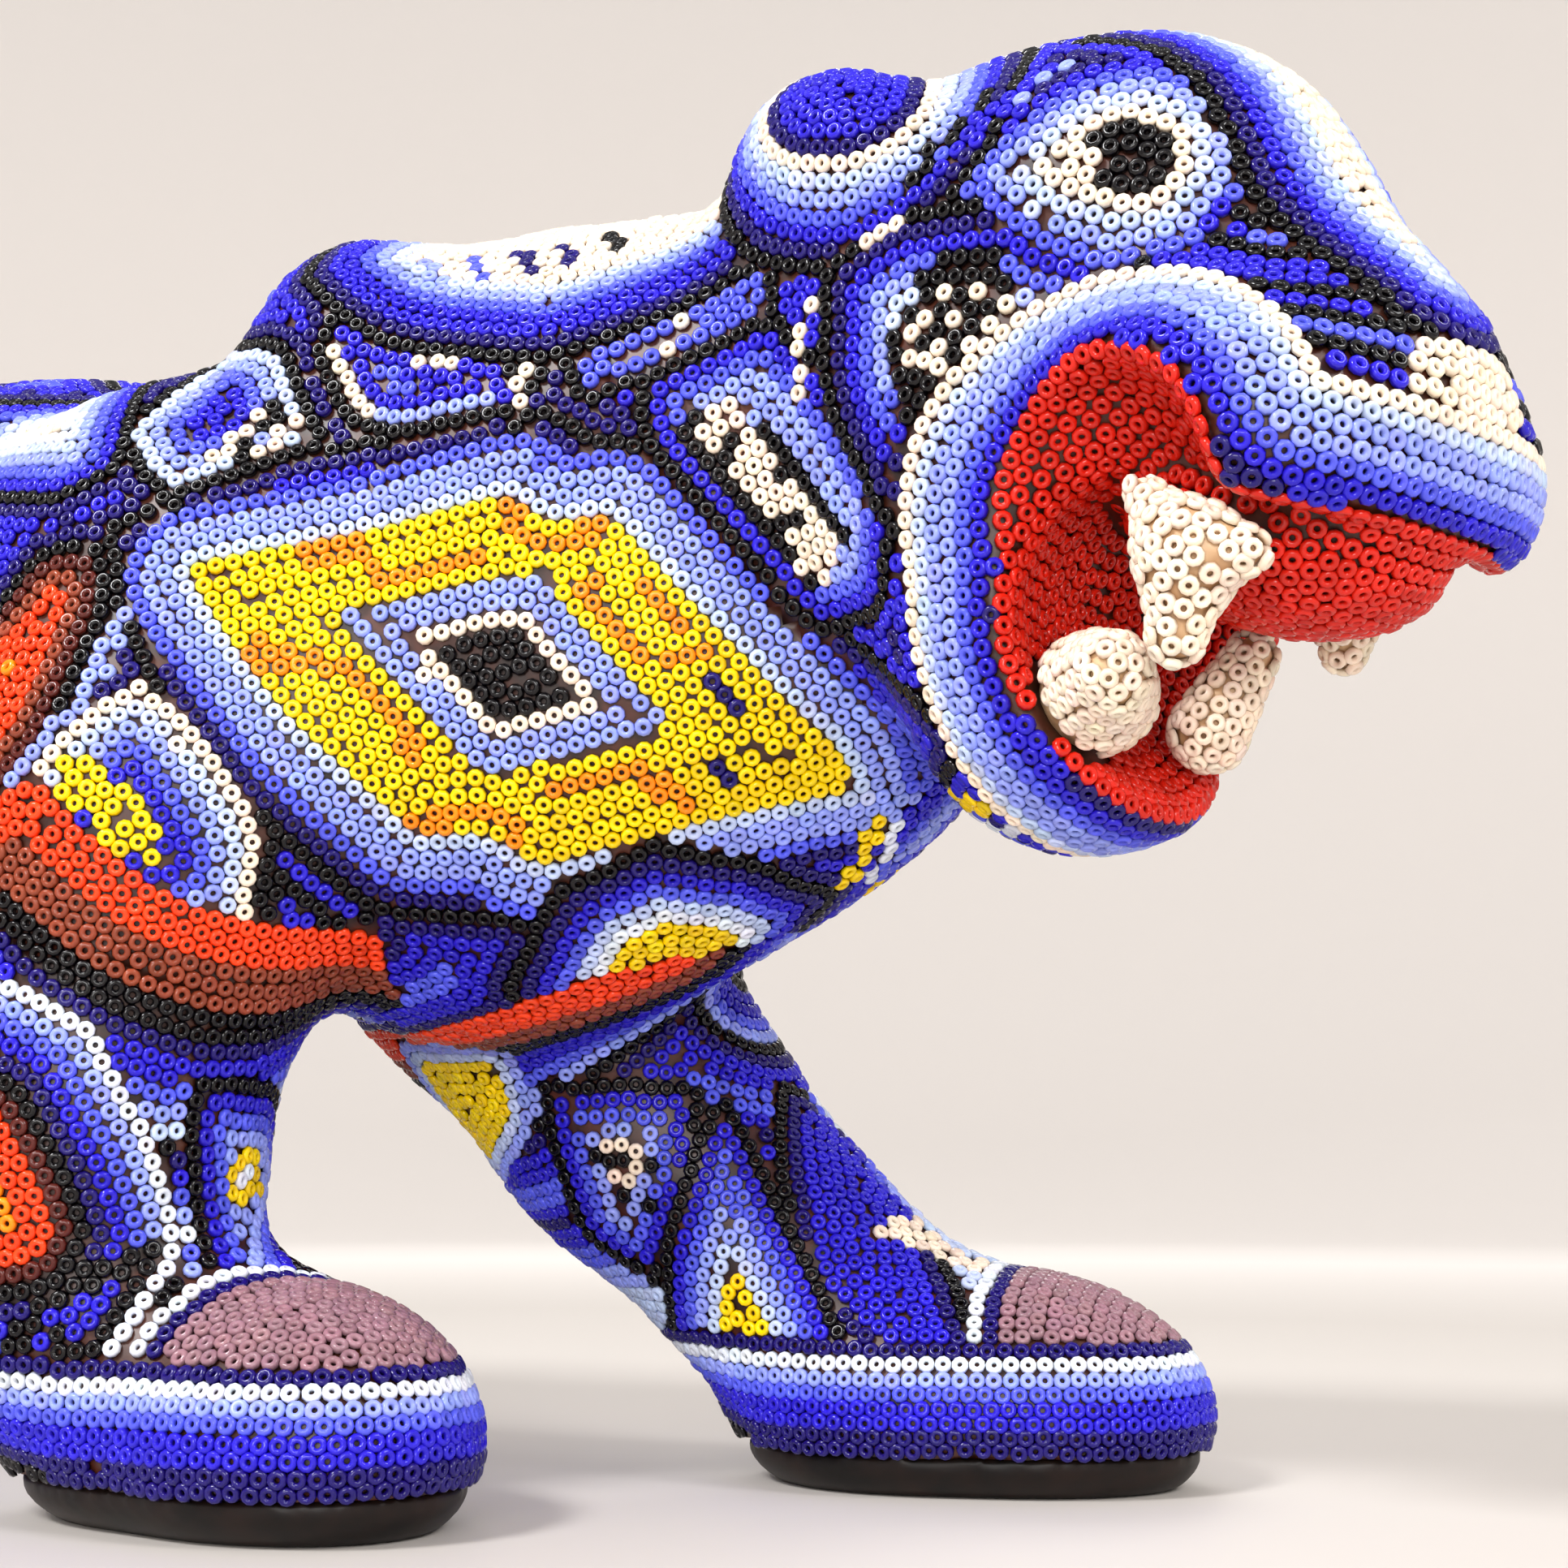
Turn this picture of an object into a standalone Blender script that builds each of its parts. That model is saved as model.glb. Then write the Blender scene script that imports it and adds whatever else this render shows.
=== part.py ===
"""A walking big cat with an open mouth: doweled wooden cores under coats of wax and beads."""

import math

import bmesh
import bpy
import numpy as np
from mathutils import Vector

# Driving sizes in millimetres. The cat faces +X, its right side is -Y and the floor is Z = 0.
COAT = 2.4  # wax with the beads pressed into it
GAP = 0.3  # between neighbouring pieces
FLOOR_OF_PAWS = 4.8
SOLE_HEIGHT = 4.5
CENTRE = (-20.0, -5.3)  # middle of the outline on the floor, before it is moved to the origin
LOW_CORNER = (-220, -72, -16)  # of the box that holds the whole figure
HIGH_CORNER = (182, 64, 194)
FINE_STEP = 3.5  # grid that the surfaces are sampled on
COAT_TRIANGLES = 4000
CORE_TRIANGLES = 2300
SKULL = (103.0, -13.0, 135.5)
HEAD_TURN = -32.0
HEAD_TILT = -22.0

# Legs: top, knee, ankle, three radii, paw centre, turn of the paw in degrees.
LEGS = {
    "fore_right": ((-8, -30, 84), (-13, -31, 48), (-9, -31, 24), (24, 20.5, 19.5), (15.5, -30.5), -27),
    "fore_left": ((12, 28, 84), (38, 30, 50), (64, 30, 24), (24, 19.5, 18.5), (89, 30), 0),
    "hind_right": ((-124, -28, 88), (-139, -29, 48), (-142, -29, 24), (25, 19, 17.5), (-124, -29), -6),
    "hind_left": ((-104, 28, 88), (-110, 29, 50), (-114, 29, 24), (25, 19, 17.5), (-94, 29), 4),
}
# Tail: points along its middle with the radius at each.
TAIL = (
    (-146, 0, 134, 13),
    (-162, 0, 121, 12),
    (-176, 0, 98, 11),
    (-183, 0, 70, 10),
    (-189, -2, 48, 9.5),
    (-197, -4, 34, 9.5),
)
# Fangs in head coordinates: root, tip, root radius, tip radius.
FANGS = {
    "fang_upper_right": ((53, -19, -13), (55.5, -20.7, -23.5), 8.3, 3.2),
    "fang_upper_left": ((47.5, 13.5, -11), (47.5, 16.5, -20.5), 7.0, 3.2),
    "fang_lower_right": ((40, -13.5, -31.5), (47.5, -20, -28.5), 8.2, 5.0),
    "fang_lower_left": ((42, 4, -33), (43.5, 6, -23.5), 5.6, 3.6),
}
# Cut planes between the blocks: a point on the plane and the direction towards the smaller piece.
NECK_CUT = ((78, -5, 125), (0.80, -0.35, 0.49))
LEG_CUTS = {
    "fore_right": ((-8, -34, 62), (-0.15, -0.25, -0.95)),
    "fore_left": ((28, 30, 60), (0.25, 0.30, -0.92)),
    "hind_right": ((-134, -30, 62), (-0.20, -0.28, -0.94)),
    "hind_left": ((-107, 30, 62), (-0.05, 0.28, -0.96)),
}
TAIL_CUT = ((-158, 0, 121), (-0.75, 0.0, -0.66))
TAIL_SIDE = ((-163, 0, 80), (-0.927, 0.0, 0.377))
DOWELS = {"neck": (5.0, 22.0), "leg": (3.5, 13.0), "tail": (2.6, 11.0)}  # radius, half length


def unit(vector):
    array = np.array(vector, float)
    return array / np.linalg.norm(array)


def head_axes():
    turn = math.radians(HEAD_TURN)
    tilt = math.radians(HEAD_TILT)
    ahead = np.array([math.cos(tilt) * math.cos(turn), math.cos(tilt) * math.sin(turn), math.sin(tilt)])
    left = np.array([-math.sin(turn), math.cos(turn), 0.0])
    return np.stack([ahead, left, np.cross(ahead, left)])


HEAD = head_axes()


def from_head(point):
    return np.array(SKULL) + np.array(point, float) @ HEAD


def turned(degrees):
    a = math.radians(degrees)
    return np.array([[math.cos(a), math.sin(a), 0], [-math.sin(a), math.cos(a), 0], [0, 0, 1]])


def nodded(degrees):
    a = math.radians(degrees)
    return np.array([[math.cos(a), 0, -math.sin(a)], [0, 1, 0], [math.sin(a), 0, math.cos(a)]])


def egg(points, middle, radii, axes=None):
    """Distance to an ellipsoid, close to exact near its surface."""
    q = points - np.array(middle, float)
    if axes is not None:
        q = q @ axes.T
    r = np.array(radii, float)
    near = np.sqrt(((q / r) ** 2).sum(-1))
    slope = np.sqrt(((q / r**2) ** 2).sum(-1))
    return near * (near - 1) / np.maximum(slope, 1e-9)


def limb(points, start, end, r1, r2):
    """Distance to two balls joined by a cone."""
    a = np.array(start, float)
    along = np.array(end, float) - a
    l2 = float(along @ along)
    drop = r1 - r2
    a2 = l2 - drop * drop
    from_a = points - a
    y = from_a @ along
    z = y - l2
    across = from_a * l2 - along * y[..., None]
    x2 = (across * across).sum(-1)
    y2 = y * y * l2
    z2 = z * z * l2
    k = np.sign(drop) * drop * drop * x2
    d = (np.sqrt(x2 * a2 / l2) + y * drop) / l2 - r1
    d = np.where(np.sign(y) * a2 * y2 < k, np.sqrt(x2 + y2) / l2 - r1, d)
    return np.where(np.sign(z) * a2 * z2 > k, np.sqrt(x2 + z2) / l2 - r2, d)


def join(a, b, blend):
    h = np.maximum(blend - np.abs(a - b), 0) / blend
    return np.minimum(a, b) - h * h * blend * 0.25


def carve(a, b, blend):
    return -join(-a, b, blend)


def trunk_shape(p):
    d = egg(p, (30, 0, 111), (53, 40, 54))
    d = join(d, egg(p, (64, -1, 110), (38, 31, 36)), 14)
    for side in (-17, 17):
        d = join(d, egg(p, (17, side, 145.5), (18, 18, 20)), 8)
    d = join(d, egg(p, (-46, 0, 115), (60, 38, 43)), 14)
    d = join(d, egg(p, (-112, 0, 120), (44, 39, 43)), 18)
    d = join(d, egg(p, (-8, -30, 98), (33, 20, 45)), 14)
    d = join(d, egg(p, (18, 30, 98), (33, 20, 45)), 14)
    d = join(d, egg(p, (-122, -27, 102), (33, 20, 45)), 16)
    d = join(d, egg(p, (-104, 27, 102), (33, 20, 45)), 16)
    return join(d, limb(p, (48, 0, 134), (84, -6, 138), 34, 30), 14)


def leg_shape(p, top, knee, ankle, radii, paw, turn):
    d = limb(p, top, knee, radii[0], radii[1])
    d = join(d, limb(p, knee, ankle, radii[1], radii[2]), 10)
    axes = turned(turn)
    middle = np.array([paw[0], paw[1], 9.5])
    heel = middle - 12 * axes[0] - (0, 0, 0.5)
    d = join(d, egg(p, middle, (30, 22, 19), axes), 12)
    return join(d, egg(p, heel, (20, 21, 17), axes), 8)


def tail_shape(p):
    d = None
    for a, b in zip(TAIL[:-1], TAIL[1:]):
        piece = limb(p, a[:3], b[:3], a[3], b[3])
        d = piece if d is None else join(d, piece, 6)
    return d


def head_shape(p):
    q = (p - np.array(SKULL)) @ HEAD.T
    d = egg(q, (-2, 0, 6), (34, 30, 33))
    d = join(d, egg(q, (14, 0, 20), (28, 25, 23)), 10)
    d = join(d, limb(q, (22, 0, 20), (52, 0, 5), 20, 16), 10)
    for side in (-13, 13):
        d = join(d, egg(q, (14, side, -12), (28, 17, 24)), 10)
        d = join(d, egg(q, (45, side, -1), (21, 17, 15)), 8)
    d = join(d, egg(q, (52, 0, -3), (17, 24, 12)), 8)
    d = join(d, egg(q, (29.5, -4.5, -30), (22, 20.5, 21)), 10)
    d = carve(d, egg(q, (54, 0, -24), (27, 36, 19.5), nodded(22)), 4)
    for side in (-29, 29):
        d = carve(d, egg(q, (45, side, -12), (13, 13, 14), nodded(10)), 4)
    d = join(d, egg(q, (48.5, 0, -10.5), (18, 17, 10.5)), 4)
    for side in (-23, 23):
        d = join(d, egg(q, (-13.5, side, 21.5), (16.5, 11, 12)), 6)
    return d


def figure(p):
    """Distance to the outside of the beads."""
    d = trunk_shape(p)
    for leg in LEGS.values():
        d = join(d, leg_shape(p, *leg), 12)
    d = join(d, head_shape(p), 10)
    return join(d, tail_shape(p), 10)


def half_space(cut):
    """A cut as a plane whose outward side is away from the smaller piece."""
    return np.array(cut[0], float), -unit(cut[1])


def blocks():
    """Each smaller piece's block of space, as planes with outward normals."""
    pieces = {"head": [half_space(NECK_CUT)]}
    for name, cut in LEG_CUTS.items():
        inner = 1.0 if name.endswith("right") else -1.0
        rear, front = (-60.0, 150.0) if name.startswith("fore") else (-167.0, -60.0)
        pieces[name] = [
            half_space(cut),
            (np.array([0.0, 0.0, 0.0]), np.array([0.0, inner, 0.0])),
            (np.array([rear, 0.0, 0.0]), np.array([-1.0, 0.0, 0.0])),
            (np.array([front, 0.0, 0.0]), np.array([1.0, 0.0, 0.0])),
            (np.array([0.0, 0.0, FLOOR_OF_PAWS]), np.array([0.0, 0.0, -1.0])),
        ]
    pieces["tail"] = [half_space(TAIL_CUT), half_space(TAIL_SIDE)]
    return pieces


BLOCKS = blocks()


def skin_of(shape, low, high, step):
    """A closed triangle mesh where the field is zero: one vertex per crossed grid cell."""
    low = np.array(low, float)
    count = np.ceil((np.array(high, float) - low) / step).astype(int) + 1
    axes = [low[k] + step * np.arange(count[k]) for k in range(3)]
    values = shape(np.stack(np.meshgrid(*axes, indexing="ij"), -1))
    inside = values < 0
    cells = count - 1
    total = np.zeros(tuple(cells) + (3,))
    hits = np.zeros(cells, int)
    corners = [(i, j, k) for i in (0, 1) for j in (0, 1) for k in (0, 1)]

    def corner(grid, c):
        return grid[c[0] : c[0] + cells[0], c[1] : c[1] + cells[1], c[2] : c[2] + cells[2]]

    for c in corners:
        for k in range(3):
            if c[k]:
                continue
            other = list(c)
            other[k] = 1
            here = corner(values, c)
            there = corner(values, other)
            crossed = (here < 0) != (there < 0)
            part = np.where(crossed, here / np.where(crossed, here - there, 1), 0)
            point = np.zeros(tuple(cells) + (3,)) + np.array(c, float)
            point[..., k] = part
            total += np.where(crossed[..., None], point, 0)
            hits += crossed
    used = hits > 0
    index = np.full(cells, -1)
    index[used] = np.arange(used.sum())
    start = np.indices(cells).transpose(1, 2, 3, 0)[used]
    verts = (start + total[used] / hits[used][:, None]) * step + low
    quads = []
    for k in range(3):
        i, j = (k + 1) % 3, (k + 2) % 3
        first = [slice(1, count[q] - 1) for q in range(3)]
        second = list(first)
        first[k] = slice(0, count[k] - 1)
        second[k] = slice(1, count[k])
        a = inside[tuple(first)]
        at = np.argwhere(a != inside[tuple(second)])
        solid = a[tuple(at.T)]
        for q in (i, j):
            at[:, q] += 1
        ring = []
        for di, dj in ((-1, -1), (0, -1), (0, 0), (-1, 0)):
            cell = at.copy()
            cell[:, i] += di
            cell[:, j] += dj
            ring.append(index[tuple(cell.T)])
        face = np.stack(ring, 1)
        face[~solid] = face[~solid][:, ::-1]
        quads.append(face)
    return verts, np.concatenate(quads)


def mesh_object(name, verts, faces):
    moved = (np.array(verts, float) - (CENTRE[0], CENTRE[1], 0.0)) * 0.001
    mesh = bpy.data.meshes.new(name)
    mesh.from_pydata([tuple(v) for v in moved], [], [tuple(int(i) for i in f) for f in faces])
    obj = bpy.data.objects.new(name, mesh)
    bpy.context.scene.collection.objects.link(obj)
    return obj


def tidy(obj, grow=0.0):
    """Keeps the largest closed piece, in triangles, moved outwards by grow millimetres."""
    bm = bmesh.new()
    bm.from_mesh(obj.data)
    bmesh.ops.triangulate(bm, faces=bm.faces)
    groups = []
    seen = set()
    for face in bm.faces:
        if face in seen:
            continue
        seen.add(face)
        group = [face]
        for f in group:
            for edge in f.edges:
                for g in edge.link_faces:
                    if g not in seen:
                        seen.add(g)
                        group.append(g)
        groups.append(group)
    groups.sort(key=len)
    loose = [f for group in groups[:-1] for f in group]
    bmesh.ops.delete(bm, geom=loose, context="FACES")
    bmesh.ops.recalc_face_normals(bm, faces=bm.faces)
    if grow:
        bm.normal_update()
        moves = [(v, v.normal.copy()) for v in bm.verts]
        for v, normal in moves:
            v.co += normal * grow * 0.001
    bm.to_mesh(obj.data)
    bm.free()
    return obj


def is_closed(obj):
    bm = bmesh.new()
    bm.from_mesh(obj.data)
    closed = all(len(e.link_faces) == 2 for e in bm.edges) and all(v.is_manifold for v in bm.verts)
    bm.free()
    return closed


def applied(obj):
    """Bakes the object's modifiers into its mesh."""
    graph = bpy.context.evaluated_depsgraph_get()
    mesh = bpy.data.meshes.new_from_object(obj.evaluated_get(graph))
    obj.modifiers.clear()
    old = obj.data
    obj.data = mesh
    bpy.data.meshes.remove(old)


def whole_skin(name, inset, triangles):
    """The whole figure's surface moved in by inset, as one closed mesh of about so many triangles."""
    verts, quads = skin_of(lambda p: figure(p) + inset, LOW_CORNER, HIGH_CORNER, FINE_STEP)
    obj = tidy(mesh_object(name, verts, quads))
    even = obj.modifiers.new("even", "REMESH")
    even.mode = "VOXEL"
    even.voxel_size = FINE_STEP * 0.001
    applied(obj)
    tidy(obj)
    fewer = obj.modifiers.new("fewer", "DECIMATE")
    fewer.ratio = triangles / len(obj.data.polygons)
    fewer.use_collapse_triangulate = True
    applied(obj)
    if is_closed(obj):
        return obj
    raise RuntimeError(name + " does not close")


def block_object(name, planes, grow):
    """The convex block inside the planes, each moved out by grow millimetres."""
    bm = bmesh.new()
    bmesh.ops.create_cube(bm, size=0.9)
    for point, normal in planes:
        at = (point + normal * grow - (CENTRE[0], CENTRE[1], 0.0)) * 0.001
        cut = bmesh.ops.bisect_plane(
            bm,
            geom=bm.verts[:] + bm.edges[:] + bm.faces[:],
            plane_co=Vector(at),
            plane_no=Vector(normal),
            clear_outer=True,
        )
        edges = [e for e in cut["geom_cut"] if isinstance(e, bmesh.types.BMEdge)]
        bmesh.ops.contextual_create(bm, geom=edges)
    bmesh.ops.recalc_face_normals(bm, faces=bm.faces)
    bmesh.ops.triangulate(bm, faces=bm.faces)
    mesh = bpy.data.meshes.new(name)
    bm.to_mesh(mesh)
    bm.free()
    obj = bpy.data.objects.new(name, mesh)
    bpy.context.scene.collection.objects.link(obj)
    return obj


def rod_object(name, middle, direction, radius, half, sides=14):
    """A closed cylinder about an axis through middle."""
    z = unit(direction)
    x = unit(np.cross(z, (0.0, 1.0, 0.2)))
    y = np.cross(z, x)
    verts = []
    for end in (-half, half):
        for k in range(sides):
            a = 2 * math.pi * k / sides
            verts.append(np.array(middle) + z * end + radius * (x * math.cos(a) + y * math.sin(a)))
    faces = [(k, (k + 1) % sides, sides + (k + 1) % sides, sides + k) for k in range(sides)]
    faces.append(tuple(range(sides - 1, -1, -1)))
    faces.append(tuple(range(sides, 2 * sides)))
    return mesh_object(name, verts, faces)


def combine(obj, other, how):
    """Applies one exact Boolean to obj."""
    mod = obj.modifiers.new("cut", "BOOLEAN")
    mod.solver = "EXACT"
    mod.operation = how
    mod.object = other
    applied(obj)


def remove(obj):
    mesh = obj.data
    bpy.data.objects.remove(obj)
    bpy.data.meshes.remove(mesh)


def paint(obj, name, colour, rough, metal=0.0):
    material = bpy.data.materials.get(name) or bpy.data.materials.new(name)
    material.use_nodes = True
    shader = material.node_tree.nodes["Principled BSDF"]
    shader.inputs["Base Color"].default_value = (*colour, 1.0)
    shader.inputs["Roughness"].default_value = rough
    shader.inputs["Metallic"].default_value = metal
    obj.data.materials.clear()
    obj.data.materials.append(material)


def dowel_of(name):
    if name == "head":
        return NECK_CUT, DOWELS["neck"]
    if name == "tail":
        return TAIL_CUT, DOWELS["tail"]
    return LEG_CUTS[name], DOWELS["leg"]


def trim(obj, name):
    """Cuts a piece off at its joint faces."""
    if name != "torso":
        block = block_object("block", BLOCKS[name], -GAP / 2)
        combine(obj, block, "INTERSECT")
        remove(block)
        return
    for planes in BLOCKS.values():
        block = block_object("block", planes, GAP / 2)
        combine(obj, block, "DIFFERENCE")
        remove(block)


def drill(obj, name):
    """Bores the sockets for the dowels of a core."""
    names = [n for n in BLOCKS] if name == "torso" else [name]
    for each in names:
        (middle, direction), (radius, half) = dowel_of(each)
        bit = rod_object("bit", middle, direction, radius + GAP, half + GAP)
        combine(obj, bit, "DIFFERENCE")
        remove(bit)


def twin(obj, name):
    other = obj.copy()
    other.data = obj.data.copy()
    other.name = name
    bpy.context.scene.collection.objects.link(other)
    return other


def build_block(name, outside, hollow, inside):
    """One wooden core and the coat over it."""
    coat = twin(outside, name + "_coat")
    core = twin(inside, name + "_core")
    trim(coat, name)
    trim(core, name)
    combine(coat, hollow, "DIFFERENCE")
    drill(core, name)
    if name == "head":
        for tooth in FANGS.values():
            cast = fang_mesh("cast", tooth, GAP)
            combine(coat, cast, "DIFFERENCE")
            combine(core, cast, "DIFFERENCE")
            remove(cast)
    paint(core, "carved_wood", (0.55, 0.38, 0.22), 0.7)
    paint(coat, "beaded_wax_" + name.split("_")[0], (0.06, 0.05, 0.42), 0.3)
    tidy(core)
    tidy(coat)


def fang_mesh(name, tooth, grow):
    """A rounded cone from root to tip, in rings."""
    root, tip, r1, r2 = tooth
    a = from_head(root)
    b = from_head(tip)
    z = unit(b - a)
    x = unit(np.cross(z, HEAD[1] + 0.3 * HEAD[2]))
    y = np.cross(z, x)
    length = float(np.linalg.norm(b - a))
    rings = [(-0.45 * r1, r1 * 0.72), (0.0, r1), (length, r2), (length + r2 * 0.62, r2 * 0.62)]
    sides = 12
    verts = []
    for along, radius in rings:
        along = along + (grow if along > 0 else -grow)
        for k in range(sides):
            t = 2 * math.pi * k / sides
            verts.append(a + z * along + (radius + grow) * (x * math.cos(t) + y * math.sin(t)))
    faces = []
    for level in range(len(rings) - 1):
        for k in range(sides):
            low = level * sides
            n = (k + 1) % sides
            faces.append((low + k, low + n, low + sides + n, low + sides + k))
    faces.append(tuple(range(sides - 1, -1, -1)))
    faces.append(tuple(range(sides * (len(rings) - 1), sides * len(rings))))
    return mesh_object(name, verts, faces)


def build_sole(name, leg):
    """The dark plate under a paw, following the paw's outline a little inside it."""
    paw = leg[4]
    sides = 26
    rim = []
    reach = np.linspace(2, 60, 600)
    for k in range(sides):
        a = 2 * math.pi * k / sides
        ray = np.stack([paw[0] - 6 + reach * math.cos(a), paw[1] + reach * math.sin(a)], -1)
        points = np.concatenate([ray, np.full((len(reach), 1), FLOOR_OF_PAWS + 1.0)], 1)
        rim.append(reach[np.argmax(leg_shape(points, *leg) > 0)])
    verts = []
    for height, inset in ((0.0, 4.6), (1.4, 2.6), (SOLE_HEIGHT, 1.6)):
        for k in range(sides):
            a = 2 * math.pi * k / sides
            r = rim[k] - inset
            verts.append((paw[0] - 6 + r * math.cos(a), paw[1] + r * math.sin(a), height))
    faces = []
    for level in (0, 1):
        for k in range(sides):
            low = level * sides
            n = (k + 1) % sides
            faces.append((low + k, low + n, low + sides + n, low + sides + k))
    faces.append(tuple(range(sides - 1, -1, -1)))
    faces.append(tuple(range(2 * sides, 3 * sides)))
    sole = mesh_object("sole_" + name, verts, faces)
    paint(sole, "sole_wax", (0.02, 0.012, 0.01), 0.35)


def main():
    for obj in list(bpy.data.objects):
        bpy.data.objects.remove(obj)
    outside = whole_skin("outside", 0.0, COAT_TRIANGLES)
    inside = whole_skin("inside", COAT + GAP, CORE_TRIANGLES)
    hollow = tidy(twin(inside, "hollow"), GAP)
    for name in ["torso"] + list(BLOCKS):
        build_block(name, outside, hollow, inside)
    for whole in (outside, hollow, inside):
        remove(whole)
    for name, leg in LEGS.items():
        build_sole(name, leg)
    for name, tooth in FANGS.items():
        paint(fang_mesh(name, tooth, 0.0), "fang_ivory", (0.82, 0.76, 0.66), 0.3)
    for name in BLOCKS:
        (middle, direction), (radius, half) = dowel_of(name)
        rod = rod_object("dowel_" + name.replace("head", "neck"), middle, direction, radius, half)
        paint(rod, "dowel_birch", (0.72, 0.58, 0.40), 0.6)


main()
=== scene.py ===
"""A walking big cat covered in seed beads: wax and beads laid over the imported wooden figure."""

import math
from collections import deque

import bpy
import numpy as np
from mathutils import Matrix, Vector
from mathutils.bvhtree import BVHTree
from mathutils.kdtree import KDTree


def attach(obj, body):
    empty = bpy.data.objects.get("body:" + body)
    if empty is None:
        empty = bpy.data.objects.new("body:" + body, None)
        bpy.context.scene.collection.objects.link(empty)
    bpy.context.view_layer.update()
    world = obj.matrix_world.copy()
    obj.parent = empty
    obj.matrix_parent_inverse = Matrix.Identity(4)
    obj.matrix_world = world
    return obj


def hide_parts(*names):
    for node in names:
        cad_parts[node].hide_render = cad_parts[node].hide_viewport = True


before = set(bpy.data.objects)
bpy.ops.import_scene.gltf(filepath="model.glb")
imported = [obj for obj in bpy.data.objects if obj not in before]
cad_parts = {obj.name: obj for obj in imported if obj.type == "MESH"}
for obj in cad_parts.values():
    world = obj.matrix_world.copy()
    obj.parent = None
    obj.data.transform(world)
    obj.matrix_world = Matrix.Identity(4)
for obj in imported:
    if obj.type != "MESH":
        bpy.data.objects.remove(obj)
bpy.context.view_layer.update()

# Sizes in millimetres, in the figure's own drawing frame: it faces +X and its right side is -Y.
MOVE = (20.0, 5.3, 0.0)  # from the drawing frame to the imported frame
FIGURE_LOW = (-222, -78, 1)
FIGURE_HIGH = (186, 66, 190)
FLOOR_OF_PAWS = 4.8
LOWEST_BEAD = FLOOR_OF_PAWS + 0.8
SKULL = (103.0, -13.0, 135.5)
HEAD_TURN = -32.0
HEAD_TILT = -22.0
# Each leg: top, knee and ankle, their three radii, the middle of the paw and the paw's turn.
LEGS = {
    "fore_right": ((-8, -30, 84), (-13, -31, 48), (-9, -31, 24), (24, 20.5, 19.5), (15.5, -30.5), -27),
    "fore_left": ((12, 28, 84), (38, 30, 50), (64, 30, 24), (24, 19.5, 18.5), (89, 30), 0),
    "hind_right": ((-124, -28, 88), (-139, -29, 48), (-142, -29, 24), (25, 19, 17.5), (-124, -29), -6),
    "hind_left": ((-104, 28, 88), (-110, 29, 50), (-114, 29, 24), (25, 19, 17.5), (-94, 29), 4),
}
# Points down the tail, each with its radius.
TAIL = (
    (-146, 0, 134, 13),
    (-162, 0, 121, 12),
    (-176, 0, 98, 11),
    (-183, 0, 70, 10),
    (-189, -2, 48, 9.5),
    (-197, -4, 34, 9.5),
)
# Each fang: root and tip in the head's own axes, then their radii.
FANGS = {
    "fang_upper_right": ((53, -19, -13), (55.5, -20.7, -23.5), 8.3, 3.2),
    "fang_upper_left": ((47.5, 13.5, -11), (47.5, 16.5, -20.5), 7.0, 3.2),
    "fang_lower_right": ((40, -13.5, -31.5), (47.5, -20, -28.5), 8.2, 5.0),
    "fang_lower_left": ((42, 4, -33), (43.5, 6, -23.5), 5.6, 3.6),
}
# Each saw cut between two wooden blocks: a point on it and the way it faces.
NECK_CUT = ((78, -5, 125), (0.80, -0.35, 0.49))
LEG_CUTS = {
    "fore_right": ((-8, -34, 62), (-0.15, -0.25, -0.95)),
    "fore_left": ((28, 30, 60), (0.25, 0.30, -0.92)),
    "hind_right": ((-134, -30, 62), (-0.20, -0.28, -0.94)),
    "hind_left": ((-107, 30, 62), (-0.05, 0.28, -0.96)),
}
TAIL_CUT = ((-158, 0, 121), (-0.75, 0.0, -0.66))
TAIL_SIDE = ((-163, 0, 80), (-0.927, 0.0, 0.377))

PITCH = 2.17  # from bead to bead
ROW = PITCH * 0.866
BEAD_DEPTH = 0.66  # from a bead's top to its middle
WAX_DEPTH = 0.95  # from the tops of the beads to the wax
SKIN_STEP = 2.0
LIP_WIDTH = 12.4
BEADS_PER_PIECE = 1950
BEAD_SIDES = 10
# Half a bead cut through its hole: distance from the hole's axis and height, going round once.
BEAD_PROFILE = ((1.16, -0.06), (1.03, 0.45), (0.7, 0.66), (0.36, 0.44), (0.29, -0.35))


def srgb(red, green, blue):
    return tuple(((v / 255 + 0.055) / 1.055) ** 2.4 if v > 10 else v / 3295 for v in (red, green, blue))


COLOURS = {
    "black": srgb(7, 5, 8),
    "navy": srgb(28, 16, 104),
    "cobalt": srgb(40, 28, 196),
    "mid": srgb(84, 92, 230),
    "light": srgb(146, 160, 244),
    "pale": srgb(190, 205, 240),
    "white": srgb(226, 232, 242),
    "cream": srgb(250, 230, 208),
    "yellow": srgb(250, 212, 0),
    "orange": srgb(255, 146, 14),
    "flame": srgb(246, 66, 20),
    "red": srgb(216, 34, 18),
    "brown": srgb(140, 62, 40),
    "umber": srgb(84, 28, 22),
    "mauve": srgb(150, 112, 122),
}
BLOCKS = ["torso", "head", "tail"] + list(LEGS)
NAMES = list(COLOURS)
PALETTE = np.array([COLOURS[n] for n in NAMES])


# ---------------------------------------------------------------- the carved shape


def unit(vector):
    array = np.array(vector, float)
    return array / np.linalg.norm(array)


def head_axes():
    turn = math.radians(HEAD_TURN)
    tilt = math.radians(HEAD_TILT)
    ahead = np.array([math.cos(tilt) * math.cos(turn), math.cos(tilt) * math.sin(turn), math.sin(tilt)])
    left = np.array([-math.sin(turn), math.cos(turn), 0.0])
    return np.stack([ahead, left, np.cross(ahead, left)])


HEAD = head_axes()


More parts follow.
